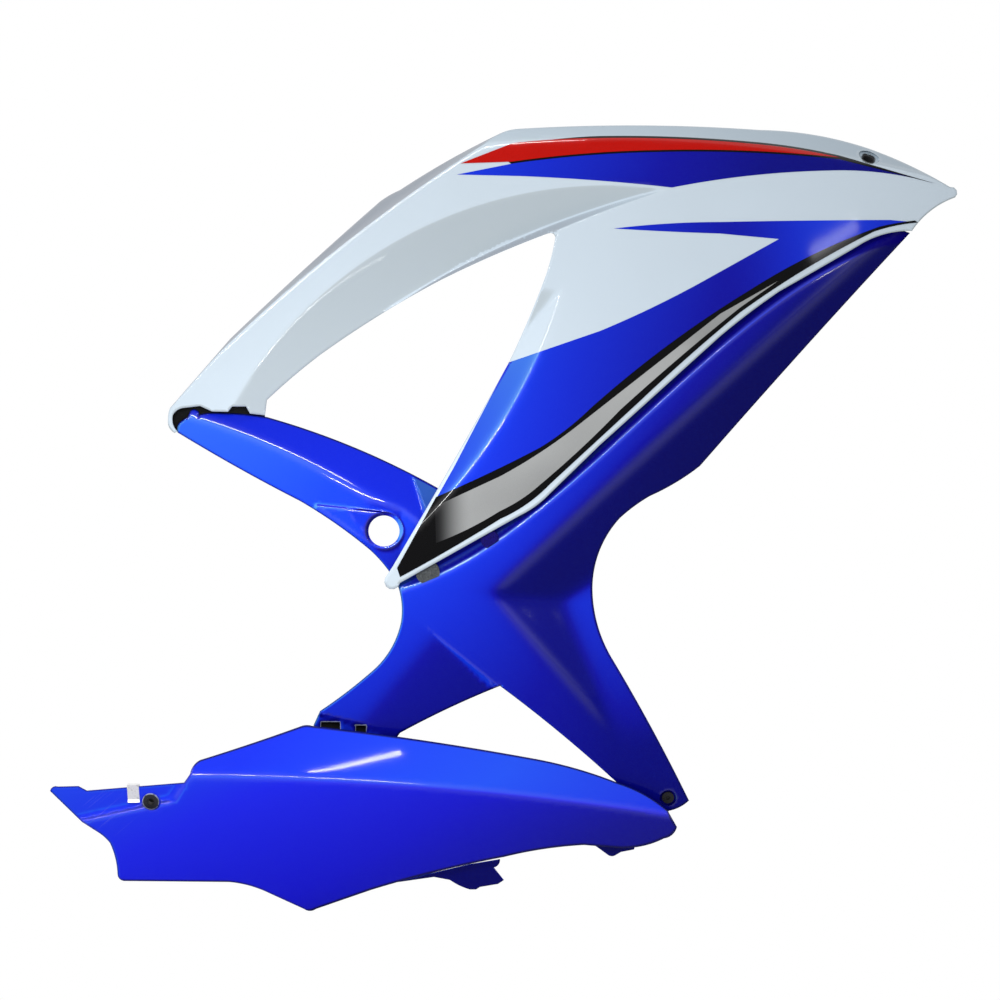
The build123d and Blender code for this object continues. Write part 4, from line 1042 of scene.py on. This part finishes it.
# Tabs below the belly panel, set back behind its edge, in a copy of the blue darkened as painted shade
bellyTabs = {
    "setback": 8.0,
    "front": [(1, -353, 0), (86, -333, 0), (116, -328, 2), (110, -336.5, 0), (120, -349, 0), (114, -353, 0),
              (96, -356, 0),
              (92, -358.5, 0), (86, -358.5, 1), (66, -349, 0), (50, -346, 0)],
    "rear": [(208, -313, 0), (252, -312, 0), (250, -318.5, 0), (237, -321, 0), (231, -324.5, 1),
             (224, -324, 0), (213, -316, 0)],
}
for tabName in ("front", "rear"):
    loop = traceOutline(bellyTabs[tabName], 1.5)
    where, faces, centres = fillOutline(loop)
    skin = bellyDepth(where[:, 0], where[:, 1]) + bellyTabs["setback"]
    edge = loopDistance(loop, where[:, 0], where[:, 1])
    tab = makeShell(tabName + "BellyTab", where, faces, skin + edgeTurn(edge, 0.8),
                    skin + shell["wall"], [shadedTabBlue, rawBlack])

# Foam that fills the gap in the tail cup; its black also stands in for the shade in the gap
tailFoamAndShade = {"loop": [(-214, 126), (-119, 126), (-119, 98), (-214, 98)], "depth": 8.0, "thick": 3.0,
            "room": [(-214, 112, 0), (-213, 121, 0), (-190, 128, 0), (-118, 128, 0), (-117, 113, 0),
                     (-150, 112, 0), (-206, 97, 0)]}
foamLoop = np.array(tailFoamAndShade["loop"], dtype=float)
tailMarks = [loop[(loop[:, 0] < -90) & (loop[:, 1] > 60)] for loop in (upperLoop, midLoop)]
where, faces, centres = fillOutline(foamLoop, [], tailMarks)
inGap = insideLoop(traceOutline(tailFoamAndShade["room"], 4.0), centres[:, 0], centres[:, 1])
for loop in (upperLoop, midLoop):
    inGap &= ~insideLoop(loop, centres[:, 0], centres[:, 1])
foamFront = upperDepth(where[:, 0], where[:, 1]) + tailFoamAndShade["depth"]
foamPiece = makeShell("tailFoamAndShade", where, faces[inGap], foamFront, foamFront + tailFoamAndShade["thick"], [foam])
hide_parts("tail_pad")

# Moulded fittings behind the panels
fittings = []
for spotX, spotZ in seamScrews["spots"]:
    seat = seamSeat(spotX, spotZ)
    bossLoop = circleLoop(seamScrews["bossRadius"])
    fittings.append((seat, bossLoop, -seamScrews["bossRise"], seamScrews["bossFoot"]))
    seatLoop = circleLoop(seamScrews["seatRadius"])
    fittings.append((seat, seatLoop, seamScrews["seatNear"], seamScrews["seat"]))
legSeat = legHole["seat"]
legBacking = {"radius": 10.5, "near": 3.1, "far": 6.0}
ear = {"radius": 10, "foot": (-9, -24), "footRadius": 6, "near": 6.1, "far": 9.1}
fittings.append((legSeat, circleLoop(legBacking["radius"]), legBacking["near"], legBacking["far"]))
fittings.append((legSeat, hullLoop(ear["radius"], ear["foot"], ear["footRadius"]), ear["near"], ear["far"]))
foot = legSeat["at"] + legSeat["right"] * ear["foot"][0] + legSeat["up"] * ear["foot"][1]
footX, footZ = np.array([foot.x]), np.array([foot.z])
ribTop = float((bellyDepth(footX, footZ)[0] + 1 - foot.y) * abs(legSeat["out"].y))
ribLoop = circleLoop(ear["footRadius"], at=ear["foot"])
fittings.append((legSeat, ribLoop, min(ribTop, ear["near"] - 0.5), ear["near"]))
stripTongues = {"sizes": [(-200.5, 15, 3), (-203, 7, 2.6)], "root": 1, "reach": 6.2}
for (slotX, *_), (tongueZ, tongueLength, tongueHeight) in zip(stripSlots, stripTongues["sizes"]):
    atX, atZ = np.array([float(slotX)]), np.array([float(tongueZ)])
    near = float(bellyDepth(atX, atZ)[0]) + stripTongues["root"]
    far = float(midDepth(atX, atZ)[0]) + stripTongues["reach"]
    fittings.append((flatSeat(slotX, 0, tongueZ), boxLoop(tongueLength, tongueHeight), near, far))
fittingPiece = makeBlocks("mouldedFittings", fittings, rawBlack)
# Black foam pads behind the slots; they stand in for the shade seen through the slots
slotShadeFoam = {"grow": 3, "near": shell["wall"] + 0.6, "far": shell["wall"] + 3.6}
slotPads = []
for slotX, slotZ, slotLength, slotHeight in stripSlots:
    depthAt = float(midDepth(np.array([float(slotX)]), np.array([float(slotZ)]))[0])
    padBox = boxLoop(slotLength + slotShadeFoam["grow"], slotHeight + slotShadeFoam["grow"])
    slotPads.append((flatSeat(slotX, depthAt, slotZ), padBox, slotShadeFoam["near"], slotShadeFoam["far"]))
makeBlocks("slotShadeFoam", slotPads, foam)
noseSeat, noseRadius, noseFloor = noseHole["seat"], noseHole["radius"], noseHole["recess"]
bossEnd = noseFloor + noseHole["bossThick"]
noseBack = makeTube("noseBoss", noseSeat, noseRadius, noseHole["bossRadius"], noseFloor + 0.1,
                    bossEnd, rawBlack)
# a black sleeve deepens the nose hole so it shows dark, standing in for its shade
noseSleeve = makeTube("noseSleeve", noseSeat, noseRadius, noseHole["sleeveRadius"], bossEnd - 0.2,
                      noseHole["sleeveEnd"], rawBlack)
# a black sleeve behind the grommet stands in for the shade in its hole
makeTube("grommetSleeve", flangeHole["seat"], 3.4, 4.9, 6.0, 15.0, foam)
print("fittings ready")


# Hooks along the seam: one stem and lip, set on points by a node tree
def hookTree():
    tree = bpy.data.node_groups.new("seamHooks", "GeometryNodeTree")
    sockets = {"Points": "Geometry", "Length": "Float", "Thick": "Float", "Bite": "Float", "Lip": "Float",
               "Stem": "Float", "Finish": "Material"}
    for inputName, kind in sockets.items():
        tree.interface.new_socket(inputName, in_out="INPUT", socket_type="NodeSocket" + kind)
    tree.interface.new_socket("Hooks", in_out="OUTPUT", socket_type="NodeSocketGeometry")
    maker = Tone(tree)
    given = tree.nodes.new("NodeGroupInput")
    points, length, thick, bite, lip, stem, finish = [Tone(tree, socket) for socket in given.outputs[:7]]

    def block(width, height, depth, shiftX, shiftY, shiftZ):
        size = maker.node("ShaderNodeCombineXYZ", {}, {0: width, 1: height, 2: depth})
        shift = maker.node("ShaderNodeCombineXYZ", {}, {0: shiftX, 1: shiftY, 2: shiftZ})
        cube = maker.node("GeometryNodeMeshCube", {}, {"Size": size})
        return maker.node("GeometryNodeTransform", {}, {"Geometry": cube, "Translation": shift})

    stemBlock = block(length, thick, stem + lip, 0.0, 0.0, (stem - lip) * 0.5)
    lipBlock = block(length, thick + bite, lip, 0.0, bite * -0.5, lip * -0.5)
    join = tree.nodes.new("GeometryNodeJoinGeometry")
    for part in (stemBlock, lipBlock):
        tree.links.new(part.socket, join.inputs[0])
    turn = maker.node("GeometryNodeInputNamedAttribute", {"data_type": "FLOAT_VECTOR"}, {"Name": "turn"})
    hook = Tone(tree, join.outputs[0])
    spread = {"Points": points, "Instance": hook, "Rotation": turn}
    placed = maker.node("GeometryNodeInstanceOnPoints", {}, spread)
    solid = maker.node("GeometryNodeRealizeInstances", {}, {0: placed})
    painted = maker.node("GeometryNodeSetMaterial", {}, {"Geometry": solid, "Material": finish})
    result = tree.nodes.new("NodeGroupOutput")
    tree.links.new(painted.socket, result.inputs[0])
    return tree


hookSeats = [seamSeat(spotX, spotZ) for spotX, spotZ in seamHooks["spots"]]
pointMesh = bpy.data.meshes.new("hookPoints")
pointMesh.from_pydata([(seat["at"] - seat["out"] * seamHooks["grip"]) / 1000 for seat in hookSeats], [], [])
turns = pointMesh.attributes.new("turn", "FLOAT_VECTOR", "POINT")
for i, seat in enumerate(hookSeats):
    axes = Matrix((seat["right"], seat["up"], seat["out"])).transposed()
    turns.data[i].vector = axes.to_euler()
hookPoints = bpy.data.objects.new("hookPoints", pointMesh)
scene.collection.objects.link(hookPoints)
hookMaker = hookPoints.modifiers.new("hooks", "NODES")
hookMaker.node_group = hookTree()
hookSizes = {key.title(): seamHooks[key] / 1000 for key in ("length", "thick", "bite", "lip")}
hookSizes |= {"Stem": (seamHooks["grip"] + seamHooks["rise"]) / 1000, "Finish": rawBlack}
for item in hookMaker.node_group.interface.items_tree:
    if item.in_out == "INPUT" and item.name in hookSizes:
        hookMaker[item.identifier] = hookSizes[item.name]
evaluated = hookPoints.evaluated_get(bpy.context.evaluated_depsgraph_get())
hookMesh = bpy.data.meshes.new_from_object(evaluated)
bpy.data.objects.remove(hookPoints)
hookPiece = linkPiece("seamHooks", hookMesh)
print("hooks", len(hookMesh.polygons))

# Stage: pale floor, white backdrop, soft lamps
studio = {"floorZ": cadBox[0][2] - 0.004, "floorHalf": 3.0, "ambient": 0.49}
floorMesh = bpy.data.meshes.new("floor")
half = studio["floorHalf"]
floorCorners = [(-half, -half), (half, -half), (half, half), (-half, half)]
floorMesh.from_pydata([(u, v, studio["floorZ"]) for u, v in floorCorners], [], [(0, 1, 2, 3)])
floor = bpy.data.objects.new("floor", floorMesh)
scene.collection.objects.link(floor)
paleFloor, floorShader, floorMaker = startMaterial("paleFloor", Roughness=0.9, Specular_IOR_Level=0.1)
floorCloud = noise(floorMaker, 3.0).between(0.3, 0.8)
floorCloud.mix((0.88, 0.88, 0.88, 1), (0.85, 0.85, 0.85, 1)).feed(floorShader, "Base Color")
floorMesh.materials.append(paleFloor)

world = bpy.data.worlds.new("studio")
scene.world = world
world.use_nodes = True
lightPath = world.node_tree.nodes.new("ShaderNodeLightPath")
direct, glossy, through = [Tone(world.node_tree, lightPath.outputs[name])
                           for name in ("Is Camera Ray", "Is Glossy Ray", "Is Transmission Ray")]
seen = (direct + glossy + through).atMost(1.0)
backdrop = world.node_tree.nodes["Background"]
backdrop.inputs["Color"].default_value = (1, 1, 1, 1)
(studio["ambient"] + (1 - studio["ambient"]) * seen).feed(backdrop, "Strength")


# Lamps are strips between two ends, turned to a spot on the object
def stripLamp(name, first, last, spot, width, power):
    first, last, spot = Vector(first), Vector(last), Vector(spot)
    lamp = bpy.data.lights.new(name, "AREA")
    lamp.shape, lamp.size, lamp.size_y, lamp.energy = "RECTANGLE", (last - first).length, width, power
    holder = bpy.data.objects.new(name, lamp)
    along = (last - first).normalized()
    back = (first + last) / 2 - spot
    back = (back - along * back.dot(along)).normalized()
    turned = Matrix((along, back.cross(along), back)).transposed().to_4x4()
    holder.matrix_world = Matrix.Translation((first + last) / 2) @ turned
    holder.visible_camera = False
    scene.collection.objects.link(holder)


stripLamp("ridgeLamp", (-1.29, -2.95, 1.55), (0.31, -2.95, 1.55), (0.05, 0.03, 0), 0.11, 24)
stripLamp("bevelLamp", (-1.66, -2.6, 0.27), (-1.10, -2.6, 1.44), (0.1, 0, 0.05), 0.12, 17)
stripLamp("topLamp", (-2.56, -0.97, 1.55), (-1.30, -0.97, 2.81), (0, 0, 0.25), 0.10, 16)
stripLamp("bellyLamp", (-0.113, -0.298, 0.070), (0.046, -0.260, 0.124), (-0.016, 0.02, -0.236), 0.007, 0.40)
stripLamp("noseLamp", (1.83, -2.5, 0.59), (2.27, -2.5, 0.73), (0.45, 0, 0.29), 0.05, 3.0)

cameraData = bpy.data.cameras.new("photoCamera")
cameraData.type = "ORTHO"
cameraData.ortho_scale = 1.0
camera = bpy.data.objects.new("photoCamera", cameraData)
camera.location = (0.116, -3.0, 0.031)
camera.rotation_euler = (pi / 2, 0, 0)
scene.collection.objects.link(camera)
scene.camera = camera
print("stage ready")
